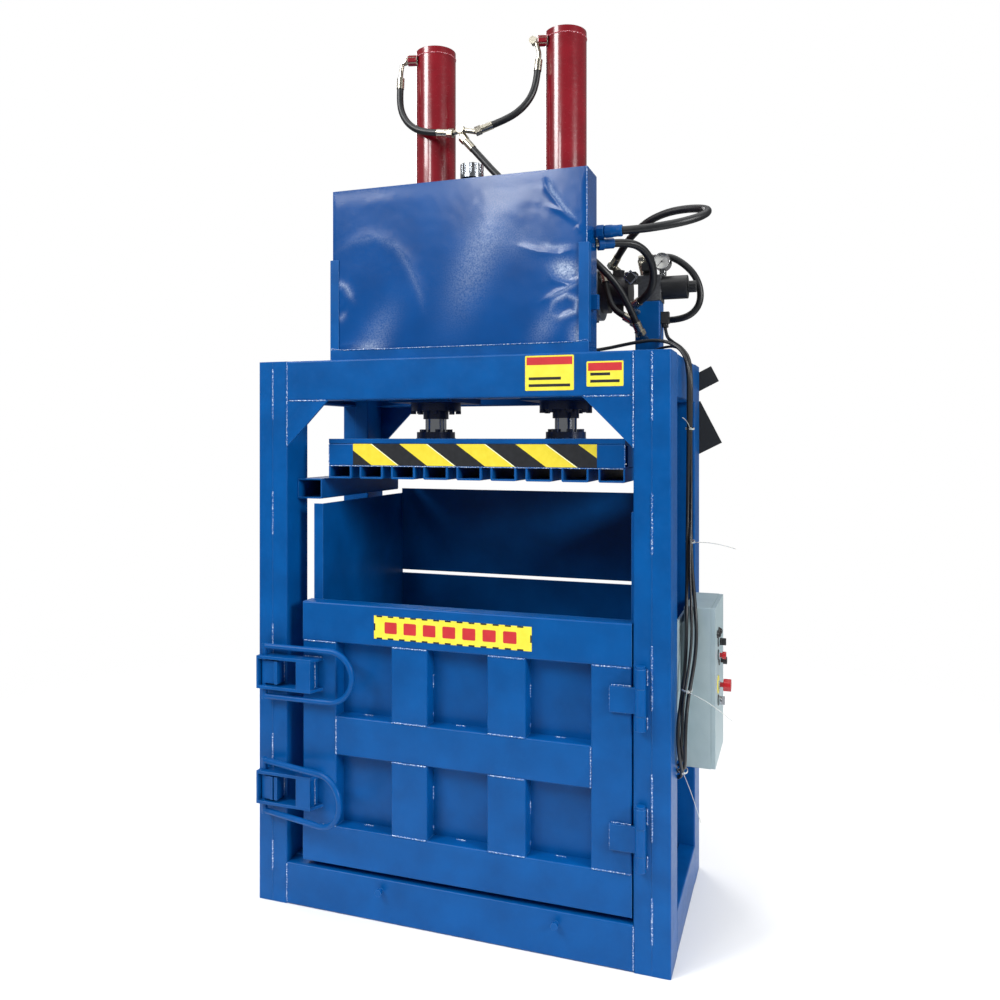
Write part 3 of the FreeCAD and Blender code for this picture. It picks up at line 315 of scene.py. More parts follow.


# ---- weld beads ---------------------------------------------------------
# Hand-laid fillet and seam welds, painted over with the rest. Their scallops are
# the brightest thing on the frame: glossy enamel, with pale painted glints on the ripples.
weld_enamel, tree, place = start_material("alkyd_enamel_over_weld_bead")
sparkle = add(tree, "TexNoise", {"Vector": place, "Scale": 1 / 0.004, "Detail": 3})
painted_glint_mask = add(tree, "MapRange", {"Value": sparkle.outputs["Fac"], "From Min": 0.50, "From Max": 0.64})
# near-white flecks on the bead are painted glints over the blue enamel
tint = add(tree, "MixRGB", {"Fac": painted_glint_mask.outputs["Result"], "Color1": linear("#1F5FA8"),
                            "Color2": linear("#C9DCF2")})
lumps = add(tree, "Bump", {"Height": sparkle.outputs["Fac"], "Strength": 0.5, "Distance": 0.001})
finish_material(tree, add(tree, "BsdfPrincipled", {
    "Base Color": tint.outputs["Color"], "Roughness": 0.16, "Normal": lumps.outputs["Normal"],
    "IOR": 1.50, "Coat Weight": 0.6, "Coat Roughness": 0.05}))

weld_luck = random.Random(11)


def bead(shape, points, radius):
    """A scalloped weld along points in millimetres: 5 mm ripples that wander a little."""
    path = [Vector(p) / 1000 for p in points]
    rings = []
    for here, ahead in zip(path, path[1:]):
        run = ahead - here
        way = run.normalized()
        side = way.orthogonal().normalized()
        other = way.cross(side)
        steps = max(2, int(run.length / 0.0022))
        for i in range(steps + 1):
            ripple = 0.68 + 0.32 * abs(math.sin(math.pi * i * 2.2 / 5.2)) + weld_luck.uniform(-0.1, 0.1)
            size = radius / 1000 * ripple * (0.35 if i in (0, steps) else 1)
            centre = here + run * (i / steps) + side * weld_luck.uniform(-0.4, 0.4) / 1000
            rings.append([shape.verts.new(centre + (side * math.cos(a) + other * math.sin(a)) * size)
                          for a in (math.tau * k / 7 for k in range(7))])
            if i:
                for k in range(7):
                    shape.faces.new((rings[-2][k], rings[-1][k], rings[-1][(k + 1) % 7],
                                     rings[-2][(k + 1) % 7]))
    shape.faces.new(rings[0][::-1])
    shape.faces.new(rings[-1])


def weld_piece(name, body, radius, seams, material=weld_enamel):
    shape = bmesh.new()
    for seam in seams:
        bead(shape, seam, radius)
    bmesh.ops.recalc_face_normals(shape, faces=shape.faces)
    return mesh_piece(name, shape, [material], body)


def upright(x, y, low, high):
    return [(x, y, low), (x, y, high)]


def level(x0, x1, y, z):
    return [(x0, y, z), (x1, y, z)]


POST_SEAM_X, POST_INNER_X, FRONT = 675, 617, -375
post_seams = []
for low, high in ((96, 240), (410, 619), (811, 1012), (1290, 1480), (1700, 1916)):
    post_seams.append(upright(POST_SEAM_X, FRONT, low, high))
    for x, y in ((-POST_SEAM_X, FRONT), (-POST_SEAM_X, -FRONT), (POST_SEAM_X, -FRONT)):
        post_seams.append(upright(x, y, low + 14, high - 22))
# the seams between are ground back to a thin line
weld_piece("post_seam_welds", "frame", 3.4, post_seams)
weld_piece("post_seam_lines", "frame", 1.5,
           [upright(x, y, 20, 1916) for x in (-POST_SEAM_X, POST_SEAM_X) for y in (FRONT, -FRONT)],
           material=blue_enamel)
beam_seams = []
for x in (-POST_INNER_X, POST_INNER_X):
    for y in (FRONT, -FRONT):
        beam_seams.append(upright(x, y, 1618, 1916))
        beam_seams.append(upright(x, y, 6, 142))
        beam_seams.append(level(x * 0.745, x * 0.985, y, 1780))
weld_piece("beam_end_welds", "frame", 2.8, beam_seams)

door_seams = []
for x0, x1 in ((-209, -76), (137, 269), (-552, -420), (483, 613)):
    for z in (301, 938):
        door_seams.append(level(x0 + 2, x1 - 2, FRONT, z))
for x0, x1 in ((-209, -76), (137, 269)):
    for z in (549, 684):
        door_seams.append(level(x0 + 2, x1 - 2, FRONT, z))
    for z in (318, 420, 702, 800):
        door_seams.append(upright(x1, -322, z, z + (16 if z in (318, 702) else 46)))
for x in (-420, 483):
    door_seams.append(upright(x, FRONT, 551, 682))
for x0, x1 in ((-420, -209), (-76, 137), (269, 483)):
    for z in (301, 684):
        door_seams.append(level((x0 + x1) / 2 - 20, (x0 + x1) / 2 + 16, -330, z))
weld_piece("door_welds", "door", 2.7, door_seams)

HINGES = ((754, 800, 883, 943), (325, 373, 456, 516))
leaf_seams, knuckle_seams = [], []
for low, joint_1, joint_2, high in HINGES:
    middle = (joint_1 + joint_2) / 2
    leaf_seams += [level(548, 612, -376, middle + 41), level(548, 600, -376, middle - 41),
                   upright(544, -376, middle - 38, middle + 38)]
    knuckle_seams += [upright(661, -378, low + 2, joint_1 - 6), upright(661, -378, joint_2 + 6, high - 3)]
weld_piece("hinge_leaf_welds", "door", 2.8, leaf_seams)
weld_piece("hinge_knuckle_welds", "frame", 3.4, knuckle_seams)

LATCH_HEIGHTS = (825, 420)
bracket_seams, keeper_seams = [], []
for middle in LATCH_HEIGHTS:
    for z in (middle + 58.5, middle - 58.5):
        bracket_seams.append(level(-548, -474, -377, z))
    bracket_seams.append(upright(-491, -396, middle - 46, middle + 46))
    keeper_seams += [upright(-627, -376, middle - 38, middle + 38),
                     upright(-641, -376, middle - 38, middle - 4)]
weld_piece("latch_bracket_welds", "door", 2.2, bracket_seams)
weld_piece("keeper_welds", "frame", 2.0, keeper_seams)


# ---- oil tank front -----------------------------------------------------
# Thin sheet welded all round, so heat has pulled its front into dents and hard
# creases. A pressed skin a few millimetres deep stands on the plain tank face.
TANK_LEFT, TANK_RIGHT, TANK_FRONT, TANK_LOW, TANK_TOP = -455, 462, -335, 1927, 2515
TANK_GRID = 4.0
# the sheet is held straight by its welds, over this far from the sides, the foot and the top
SIDE_HELD, FOOT_HELD, TOP_HELD = 16, 40, 60
SKIN_GAP, SKIN_REST, SKIN_MOST = 0.25, 1.3, 5.2


def bump_at(x, z, centre, size, turn=0.0):
    """A rounded mound; size is its half width and half height, turned by degrees."""
    dx, dz = x - centre[0], z - centre[1]
    c, s = math.cos(math.radians(turn)), math.sin(math.radians(turn))
    u, v = (dx * c + dz * s) / size[0], (-dx * s + dz * c) / size[1]
    return math.exp(-(u * u + v * v))


def crease_at(x, z, points, width):
    """A fold along points, sharp on top, that fades out sideways and at its ends."""
    best, where = 1e9, 0.0
    count = len(points) - 1
    for i, (a, b) in enumerate(zip(points, points[1:])):
        ax, az, bx, bz = a[0], a[1], b[0], b[1]
        run = (bx - ax) ** 2 + (bz - az) ** 2
        t = min(1, max(0, ((x - ax) * (bx - ax) + (z - az) * (bz - az)) / run))
        gap = math.hypot(x - ax - t * (bx - ax), z - az - t * (bz - az))
        if gap < best:
            best, where = gap, (i + t) / count
    ends = min(1, 4 * where, 4 * (1 - where))
    return math.exp(-abs(best / width) ** 1.3) * max(0.15, ends)


# Dents: how far each stands out in millimetres, its centre, half width and height, and turn.
DENTS = (
    (3.0, (-320, 2140), (150, 165), 0), (3.2, (95, 2250), (80, 200), -20), (0.8, (250, 2440), (60, 120), -38),
    (1.3, (60, 2110), (60, 130), 0), (1.4, (-260, 1980), (60, 90), -35), (-3.9, (392, 2186), (40, 27), -18),
    (-1.8, (388, 2072), (26, 20), 20), (-1.6, (430, 1984), (26, 24), 0))
# Creases: how far each stands out, its width, and the points it runs through.
CREASES = (
    (1.6, 26, ((-452, 2290), (-400, 2330), (-320, 2352), (-230, 2330), (-160, 2260), (-115, 2160),
               (-100, 2060), (-105, 1970))),
    (2.4, 9, ((318, 2500), (330, 2455), (368, 2400), (420, 2340))),
    (1.8, 8, ((330, 2400), (385, 2372), (440, 2332))),
    (1.6, 8, ((430, 2330), (446, 2302))),
    (1.9, 11, ((215, 2282), (300, 2252), (370, 2240), (424, 2252))),
    (1.8, 8, ((320, 2222), (350, 2160), (405, 2140), (440, 2158))),
    (2.2, 8, ((306, 2086), (360, 2116), (440, 2146))),
    (2.2, 7, ((336, 2046), (352, 2088), (396, 2108), (430, 2090), (424, 2052), (372, 2034), (336, 2050))),
    (1.5, 11, ((392, 1972), (410, 2004), (444, 2014))),
    (1.5, 12, ((-440, 2190), (-404, 2178), (-380, 2142), (-368, 2108))),
    (1.4, 8, ((-446, 2162), (-424, 2168), (-404, 2140), (-416, 2108), (-446, 2104))),
    (1.7, 12, ((-444, 1966), (-380, 1976), (-330, 1968))))
# Painted highlights on the tank's front: pale speckled patches, and lines along creases and dents, that stand
# in for reflections, each from 0 to 1 at its brightest.
PAINTED_HIGHLIGHT_PATCHES = (
    (0.30, (88, 2249), (66, 175), -22.8), (0.14, (215, 2300), (110, 50), -14),
    (0.50, (-316, 1958), (52, 22), 8), (0.20, (-280, 2010), (46, 100), -35),
    (0.22, (323, 2010), (32, 60), -35), (1.1, (392, 2190), (40, 26), -18),
    (0.55, (432, 1980), (24, 30), -20))
PAINTED_HIGHLIGHT_LINES = (
    (0.62, 6, ((336, 2046), (352, 2088), (396, 2108), (430, 2090), (424, 2052), (372, 2034), (336, 2050))),
    (0.70, 6, ((332, 2492), (345, 2450), (392, 2385), (436, 2340))),
    (0.50, 5, ((330, 2100), (380, 2118), (438, 2146))),
    (0.55, 6, ((300, 2284), (350, 2264), (420, 2266))),
    (0.20, 12, ((-450, 2299), (-375, 2334), (-285, 2345), (-209, 2308), (-161, 2236), (-119, 2140),
                (-105, 2080))),
    (0.50, 9, ((-444, 2200), (-400, 2178), (-372, 2128))),
    (0.34, 8, ((-444, 2072), (-420, 2068), (-400, 2090))))


def spread(x, z, mounds, lines):
    """The sum of rounded mounds and folds at a place on the tank's front."""
    total = sum(most * bump_at(x, z, centre, size, turn) for most, centre, size, turn in mounds)
    return total + sum(most * crease_at(x, z, points, width) for most, width, points in lines)


def tank_height(x, z):
    """How far the sheet stands out at a place, in millimetres, with a slow wander and a fine one."""
    slow = 0.5 * noise.noise(Vector((x / 130, 0.7, z / 130)))
    fine = 0.18 * noise.noise(Vector((x / 34, 3.1, z / 34)))
    return spread(x, z, DENTS, CREASES) + slow + fine


shape = bmesh.new()
painted_highlight_layer = shape.verts.layers.float.new("painted_highlight")
across = int((TANK_RIGHT - TANK_LEFT) / TANK_GRID)
tall = int((TANK_TOP - TANK_LOW) / TANK_GRID)
grid = []
for j in range(tall + 1):
    row = []
    for i in range(across + 1):
        x = TANK_LEFT + (TANK_RIGHT - TANK_LEFT) * i / across
        z = TANK_LOW + (TANK_TOP - TANK_LOW) * j / tall
        held = min(1, (x - TANK_LEFT) / SIDE_HELD, (TANK_RIGHT - x) / SIDE_HELD,
                   (z - TANK_LOW) / FOOT_HELD, (TANK_TOP - z) / TOP_HELD)
        held = held * held * (3 - 2 * held)
        out = SKIN_GAP + held * min(SKIN_MOST, max(0.0, SKIN_REST + tank_height(x, z)))
        row.append(shape.verts.new((x / 1000, (TANK_FRONT - out) / 1000, z / 1000)))
        # each vertex carries how strongly the painted highlight lies there
        row[-1][painted_highlight_layer] = min(1.0, spread(x, z, PAINTED_HIGHLIGHT_PATCHES, PAINTED_HIGHLIGHT_LINES))
    grid.append(row)
for low_row, high_row in zip(grid, grid[1:]):
    for i in range(across):
        shape.faces.new((low_row[i], low_row[i + 1], high_row[i + 1], high_row[i]))

# The same enamel on smooth thin sheet: glossier, and paler where highlights are painted onto its dents and
# creases.
tank_enamel, tree, place = start_material("alkyd_machine_enamel_on_thin_sheet")
passes = add(tree, "TexNoise", {"Vector": place, "Scale": 1 / 0.16, "Detail": 2})
speck = add(tree, "TexNoise", {"Vector": place, "Scale": 1 / 0.006, "Detail": 3})
shade = add(tree, "MixRGB", {"Fac": passes.outputs["Fac"], "Color1": linear("#003A76"),
                             "Color2": linear("#004E96")})
# the painted highlight is laid as grains, closest together where it is brightest
painted_highlight_amount = add(tree, "Attribute", attribute_name="painted_highlight")
grains = add(tree, "TexNoise", {"Vector": place, "Scale": 1 / 0.0045, "Detail": 2})
highlight_grain_mask = add(tree, "MapRange", {"Value": grains.outputs["Fac"], "From Min": 0.30, "From Max": 0.66,
                                "To Min": 0.25})
painted_highlight_cover = add(tree, "Math", {0: painted_highlight_amount.outputs["Fac"], 1: highlight_grain_mask.outputs["Result"]}, operation="MULTIPLY")
# the pale blue-white mixed in here is the painted highlight
shade = add(tree, "MixRGB", {"Fac": painted_highlight_cover.outputs["Value"], "Color1": shade.outputs["Color"],
                             "Color2": linear("#B7C6DE")})
gloss = add(tree, "MapRange", {"Value": speck.outputs["Fac"], "To Min": 0.10, "To Max": 0.30})
peel = add(tree, "Bump", {"Height": speck.outputs["Fac"], "Strength": 0.10, "Distance": 0.0006})
finish_material(tree, add(tree, "BsdfPrincipled", {
    "Base Color": shade.outputs["Color"], "Roughness": gloss.outputs["Result"],
    "Normal": peel.outputs["Normal"],
    "IOR": 1.50, "Specular IOR Level": 0.32, "Coat Weight": 0.12, "Coat Roughness": 0.06}))
mesh_piece("tank_front_sheet", shape, [tank_enamel], "frame")
coat(tank_enamel, "oil_tank")
weld_piece("tank_welds", "frame", 1.6,
           [upright(461.5, -336, 1960, 2514), [(462, -334, 2515.5), (462, -202, 2515.5)],
            level(-414, 420, -341.5, 1956)] +
           [[(x, -341, 1956), (x, -341, 1962), (x + s * 40, -341, 1957)] for x, s in ((-458, 1), (465, -1))])


# ---- cylinders ----------------------------------------------------------
# Honed tube with the ends welded in, sprayed red before they were hung in the
# frame, with a hex port adapter welded high on the side of each.
red_enamel, tree, place = start_material("alkyd_machine_enamel_red")
passes = add(tree, "TexNoise", {"Vector": place, "Scale": 1 / 0.10, "Detail": 3})
mottle = add(tree, "TexNoise", {"Vector": place, "Scale": 1 / 0.012, "Detail": 3})
shade = add(tree, "MixRGB", {"Fac": passes.outputs["Fac"], "Color1": linear("#650613"),
                             "Color2": linear("#960F22")})
runs = add(tree, "Mapping", {"Vector": place, "Scale": (40, 40, 4)})
sag = add(tree, "TexNoise", {"Vector": runs.outputs["Vector"], "Scale": 1.0, "Detail": 3})
edge = add(tree, "Bevel", {"Radius": 0.002}, samples=4)
sagged = add(tree, "Bump", {"Height": sag.outputs["Fac"], "Normal": edge.outputs["Normal"],
                            "Strength": 0.3, "Distance": 0.002})
peel = add(tree, "Bump", {"Height": mottle.outputs["Fac"], "Normal": sagged.outputs["Normal"],
                          "Strength": 0.2, "Distance": 0.0006})
gloss = add(tree, "MapRange", {"Value": mottle.outputs["Fac"], "To Min": 0.16, "To Max": 0.34})
finish_material(tree, add(tree, "BsdfPrincipled", {
    "Base Color": shade.outputs["Color"], "Roughness": gloss.outputs["Result"],
    "Normal": peel.outputs["Normal"],
    "IOR": 1.50, "Coat Weight": 0.5, "Coat Roughness": 0.06}))
coat(red_enamel, "cylinder_barrels")

# The same over the welds on the cylinders: red enamel with pale pink painted glints.
red_bead, tree, place = start_material("red_enamel_over_weld_bead")
sparkle = add(tree, "TexNoise", {"Vector": place, "Scale": 1 / 0.004, "Detail": 3})
painted_glint_mask = add(tree, "MapRange", {"Value": sparkle.outputs["Fac"], "From Min": 0.52, "From Max": 0.68})
# pale pink flecks are painted glints on the bead
tint = add(tree, "MixRGB", {"Fac": painted_glint_mask.outputs["Result"], "Color1": linear("#A81E34"),
                            "Color2": linear("#F0B9C2")})
finish_material(tree, add(tree, "BsdfPrincipled", {
    "Base Color": tint.outputs["Color"], "Roughness": 0.18, "IOR": 1.50, "Coat Weight": 0.6,
    "Coat Roughness": 0.05}))
CYLINDERS, CYL_Y = (-210, 300), 12
rings = []
for cx in CYLINDERS:
    rings.append([(cx + 74.8 * math.cos(a), CYL_Y + 74.8 * math.sin(a), 3086) for a in
                  (math.tau * i / 30 for i in range(31))])
    rings.append([(cx - 53 + 4 * math.sin(a), CYL_Y - 53 + 17 * math.cos(a), 3072 + 19 * math.sin(a)) for a in
                  (math.tau * i / 14 for i in range(15))])
weld_piece("cylinder_welds", "frame", 2.6, rings, red_bead)


# ---- glands, rods and flanges -------------------------------------------
# Cast-iron glands bolted under the mounting plates in thick dark undercoat, and
# ground, hard-chromed rods that end in bolted flanges on the platen.
dark_iron, tree, place = start_material("cast_iron_navy_undercoat")
grain = add(tree, "TexNoise", {"Vector": place, "Scale": 1 / 0.006, "Detail": 5})
shade = add(tree, "MixRGB", {"Fac": grain.outputs["Fac"], "Color1": linear("#0B1730"),
                             "Color2": linear("#24457C")})
edge = add(tree, "Bevel", {"Radius": 0.0015}, samples=4)
cast = add(tree, "Bump", {"Height": grain.outputs["Fac"], "Normal": edge.outputs["Normal"],
                          "Strength": 0.35, "Distance": 0.0008})
gloss = add(tree, "MapRange", {"Value": grain.outputs["Fac"], "To Min": 0.22, "To Max": 0.42})
finish_material(tree, add(tree, "BsdfPrincipled", {
    "Base Color": shade.outputs["Color"], "Roughness": gloss.outputs["Result"],
    "Normal": cast.outputs["Normal"],
    "IOR": 1.50, "Coat Weight": 0.4, "Coat Roughness": 0.1}))
coat(dark_iron, "cylinder_glands", "rod_flanges")

chrome, tree, place = start_material("hard_chrome_ground")
lines = add(tree, "Mapping", {"Vector": place, "Scale": (30, 30, 900)})
wipe = add(tree, "TexNoise", {"Vector": lines.outputs["Vector"], "Scale": 1.0, "Detail": 2})
film = add(tree, "MapRange", {"Value": wipe.outputs["Fac"], "To Min": 0.08, "To Max": 0.2})
tone = add(tree, "MixRGB", {"Fac": wipe.outputs["Fac"], "Color1": linear("#AEB4BC"),
                            "Color2": linear("#D4D8DE")})
finish_material(tree, add(tree, "BsdfPrincipled", {
    "Base Color": tone.outputs["Color"], "Metallic": 1.0, "Roughness": film.outputs["Result"]}))
coat(chrome, "piston_rods")


# ---- hazard tape on the platen ------------------------------------------
# Self-adhesive vinyl tape, black with slanting yellow bars and a thin pale line
# at each bar's upper edge, stuck along the front girder and cut short of its ends.
TAPE_X, TAPE_Z, TAPE_Y = (-397, 485), (1553, 1628), -296
TAPE_PITCH, TAPE_LEAN, TAPE_FIRST = 0.213, 1.40, -0.432
tape, tree, place = start_material("hazard_tape_vinyl")
split = add(tree, "SeparateXYZ", {"Vector": place})
drop = add(tree, "Math", {0: 1.630, 1: split.outputs["Z"]}, operation="SUBTRACT")
leant = add(tree, "Math", {0: drop.outputs["Value"], 1: TAPE_LEAN}, operation="MULTIPLY")
along = add(tree, "Math", {0: split.outputs["X"], 1: leant.outputs["Value"]}, operation="SUBTRACT")
moved = add(tree, "Math", {0: along.outputs["Value"], 1: TAPE_FIRST}, operation="SUBTRACT")
turns = add(tree, "Math", {0: moved.outputs["Value"], 1: TAPE_PITCH}, operation="DIVIDE")
part_of = add(tree, "Math", {0: turns.outputs["Value"], 1: 1.0}, operation="FLOORED_MODULO")
is_yellow = add(tree, "Math", {0: part_of.outputs["Value"], 1: 0.5}, operation="LESS_THAN")
is_line = add(tree, "Math", {0: part_of.outputs["Value"], 1: 0.487, 2: 0.013}, operation="COMPARE")
scuffs = add(tree, "TexNoise", {"Vector": place, "Scale": 1 / 0.02, "Detail": 5})
black = add(tree, "MixRGB", {"Fac": scuffs.outputs["Fac"], "Color1": linear("#131417"),
                             "Color2": linear("#2B2D31")})
yellow = add(tree, "MixRGB", {"Fac": scuffs.outputs["Fac"], "Color1": linear("#E3CE22"),
                              "Color2": linear("#F6E24A")})
bars = add(tree, "MixRGB", {"Fac": is_yellow.outputs["Value"], "Color1": black.outputs["Color"],
                            "Color2": yellow.outputs["Color"]})
printed = add(tree, "MixRGB", {"Fac": is_line.outputs["Value"], "Color1": bars.outputs["Color"],
                               "Color2": linear("#FBF7C4")})
film = add(tree, "Bump", {"Height": scuffs.outputs["Fac"], "Strength": 0.2, "Distance": 0.0008})
finish_material(tree, add(tree, "BsdfPrincipled", {
    "Base Color": printed.outputs["Color"], "Roughness": 0.34, "Normal": film.outputs["Normal"],
    "IOR": 1.54}))


def plate_on(shape, x, z, y, thick, material=0, corner=0.0):
    """A thin plate facing -Y, its back at y, given in millimetres."""
    places = [(x[0], z[0]), (x[1], z[0]), (x[1], z[1]), (x[0], z[1])]
    outline = []
    for i, (px, pz) in enumerate(places):
        if corner:
            before, after = Vector(places[i - 1]), Vector(places[(i + 1) % 4])
            here = Vector((px, pz))
            for t in range(5):
                a = here + (before - here).normalized() * corner
                b = here + (after - here).normalized() * corner
                u = t / 4
                outline.append((a * (1 - u) ** 2 + here * 2 * u * (1 - u) + b * u ** 2))
        else:
            outline.append(Vector((px, pz)))
    front = [shape.verts.new((p.x / 1000, (y - thick) / 1000, p.y / 1000)) for p in outline]
    back = [shape.verts.new((p.x / 1000, y / 1000, p.y / 1000)) for p in outline]
    made = [shape.faces.new(front), shape.faces.new(back[::-1])]
    count = len(outline)
    for i in range(count):
        made.append(shape.faces.new((front[i], back[i], back[(i + 1) % count], front[(i + 1) % count])))
    for face in made:
        face.material_index = material


shape = bmesh.new()
plate_on(shape, TAPE_X, TAPE_Z, TAPE_Y, 0.35)
mesh_piece("hazard_tape", shape, [tape], "ram", smooth=False)
platen_seams = [level(-490, 574, -295.5, 1550)]
platen_seams += [upright(x, -295.5, 1554, 1628) for x in (-493, 576)]
platen_seams += [[(cx + 73 * math.cos(a), CYL_Y + 73 * math.sin(a), 1647)
                  for a in (math.tau * i / 30 for i in range(31))] for cx in CYLINDERS]
weld_piece("platen_welds", "ram", 2.0, platen_seams)


# ---- blank plates -------------------------------------------------------
# Three unprinted vinyl plates: two on the top beam with a red band, and one on
# the door with a dashed black edge and a row of plain red blocks.
vinyl = {}
VINYLS = (("yellow", "#E8D92C", "#F7EC57"), ("red", "#B9222B", "#D3353A"),
          ("black", "#16161A", "#26262B"), ("pale", "#E9E3B4", "#F6F2CF"))
for name, dark, light in VINYLS:
    vinyl[name], tree, place = start_material("vinyl_film_" + name)
    cloud = add(tree, "TexNoise", {"Vector": place, "Scale": 1 / 0.03, "Detail": 4})
    shade = add(tree, "MixRGB", {"Fac": cloud.outputs["Fac"], "Color1": linear(dark),
                                 "Color2": linear(light)})
    film = add(tree, "Bump", {"Height": cloud.outputs["Fac"], "Strength": 0.15, "Distance": 0.0006})
    finish_material(tree, add(tree, "BsdfPrincipled", {
        "Base Color": shade.outputs["Color"], "Roughness": 0.36, "Normal": film.outputs["Normal"],
        "IOR": 1.54}))
films = [vinyl["yellow"], vinyl["red"], vinyl["black"], vinyl["pale"]]
shape = bmesh.new()
for (x0, x1), (z0, z1) in (((268, 429), (1800, 1912)), ((470, 587), (1810, 1889))):
    plate_on(shape, (x0, x1), (z0, z1), FRONT, 0.5, 0, corner=4)
    plate_on(shape, (x0 + 5, x1 - 5), (z1 - 30, z1 - 5), FRONT - 0.5, 0.15, 1)
    for row in range(2):
        z = z0 + 12 + row * 22
        plate_on(shape, (x0 + 12, x1 - 12 - row * 30), (z, z + 9), FRONT - 0.5, 0.15, 2)
mesh_piece("beam_plates", shape, films, "frame", smooth=False)

shape = bmesh.new()
x0, x1, z0, z1 = -273, 290, 964, 1043
plate_on(shape, (x0, x1), (z0, z1), FRONT, 0.5, 0)
dash = 21
for i in range(int((x1 - x0) / (2 * dash))):
    start = x0 + 10 + i * 2 * dash
    for z in (z0, z1 - 5):
        plate_on(shape, (start, start + dash), (z, z + 5), FRONT - 0.5, 0.12, 2)
for x in (x0, x1 - 5):
    plate_on(shape, (x, x + 5), (z0 + 28, z0 + 52), FRONT - 0.5, 0.12, 2)
for i in range(7):
    start = x0 + 40 + i * 71
    plate_on(shape, (start, start + 46), (z0 + 20, z1 - 20), FRONT - 0.5, 0.12, 1, corner=5)
mesh_piece("door_plate", shape, films, "door", smooth=False)


# ---- hose fittings ------------------------------------------------------
# Turned and bent steel, zinc plated and yellow passivated, with plain steel
# ferrules; the hex adapters at the cylinder ports were sprayed with the cylinders.
zinc, tree, place = start_material("steel_zinc_plated")
turned = add(tree, "TexNoise", {"Vector": place, "Scale": 1 / 0.004, "Detail": 4})
tone = add(tree, "MixRGB", {"Fac": turned.outputs["Fac"], "Color1": linear("#8F8B80"),
                            "Color2": linear("#D6D0BE")})
edge = add(tree, "Bevel", {"Radius": 0.0010}, samples=4)
film = add(tree, "MapRange", {"Value": turned.outputs["Fac"], "To Min": 0.18, "To Max": 0.36})
nicks = add(tree, "Bump", {"Height": turned.outputs["Fac"], "Normal": edge.outputs["Normal"],
                           "Strength": 0.2, "Distance": 0.0004})
finish_material(tree, add(tree, "BsdfPrincipled", {
    "Base Color": tone.outputs["Color"], "Metallic": 1.0, "Roughness": film.outputs["Result"],
    "Normal": nicks.outputs["Normal"]}))
coat(zinc, "hose_fittings")


def lathe(shape, centre, axis, profile, segments=40, material=0):
    """A closed turned ring about an axis, from (along, radius) pairs in millimetres."""
    axis = Vector(axis).normalized()
    side = axis.orthogonal().normalized()
    other = axis.cross(side)
    rings = []
    for along_axis, radius in profile:
        rings.append([shape.verts.new(Vector(centre) / 1000 + axis * along_axis / 1000 +
                                      (side * math.cos(a) + other * math.sin(a)) * radius / 1000)
                      for a in (math.tau * k / segments for k in range(segments))])
    for one, two in zip(rings, rings[1:] + rings[:1]):
        for k in range(segments):
            face = shape.faces.new((one[k], two[k], two[(k + 1) % segments], one[(k + 1) % segments]))
            face.material_index = material


# The nuts and ferrules on the tank's right side, for suction and return, were sprayed blue with it.
OUTLET, RETURN_END, RETURN_WAY = (463.5, -230, 2326), (515, -186, 2296), (-0.863, -0.493, -0.106)
shape = bmesh.new()
lathe(shape, OUTLET, (1, 0, 0), [(0, 12), (0, 18), (6, 18), (8, 23), (30, 23), (32, 19), (34, 12)], 6)
lathe(shape, OUTLET, (1, 0, 0), [(33, 14), (34, 20.6), (38, 21.4), (56, 21), (62, 19.5),
                                 (74, 18.6), (86, 19.5), (91, 18.4), (92, 14)])
lathe(shape, RETURN_END, RETURN_WAY,
      [(-1, 13.8), (-1, 17), (34, 17.2), (34, 20.6), (52.6, 20.6), (52.6, 12.4)])
bmesh.ops.recalc_face_normals(shape, faces=shape.faces)
mesh_piece("tank_outlet", shape, [blue_enamel], "frame", smooth=False)

shape = bmesh.new()
for cx in CYLINDERS:
    port = Vector((cx - 52, CYL_Y - 52, 3072)) / 1000
    way = Vector((-1, -0.25, 0)).normalized()
    side = way.cross(Vector((0, 0, 1))).normalized()
    up = side.cross(way)
    rings = []
    for along_way, size in ((0.004, 0.0212), (0.0335, 0.0212), (0.0365, 0.0195), (0.0365, 0.0135)):
        rings.append([shape.verts.new(port + way * along_way + (side * math.cos(a) + up * math.sin(a)) * size)
                      for a in (math.tau * (k + 0.5) / 6 for k in range(6))])
    for one, two in zip(rings, rings[1:]):
        for k in range(6):
            shape.faces.new((one[k], two[k], two[(k + 1) % 6], one[(k + 1) % 6]))
bmesh.ops.recalc_face_normals(shape, faces=shape.faces)
mesh_piece("port_adapters", shape, [red_enamel], "frame", smooth=False)


# ---- filler cap ---------------------------------------------------------
# Pressed and chromed breather cap with a knurled skirt, on a black moulded base.
bright_chrome, tree, place = start_material("pressed_steel_bright_chrome")
smear = add(tree, "TexNoise", {"Vector": place, "Scale": 1 / 0.015, "Detail": 3})
film = add(tree, "MapRange", {"Value": smear.outputs["Fac"], "To Min": 0.14, "To Max": 0.26})
tone = add(tree, "MixRGB", {"Fac": smear.outputs["Fac"], "Color1": linear("#8C9198"),
                            "Color2": linear("#BFC3C8")})
edge = add(tree, "Bevel", {"Radius": 0.0015}, samples=4)
finish_material(tree, add(tree, "BsdfPrincipled", {
    "Base Color": tone.outputs["Color"], "Metallic": 1.0, "Roughness": film.outputs["Result"],
    "Normal": edge.outputs["Normal"]}))
coat(bright_chrome, "filler_cap", "lock_handle")

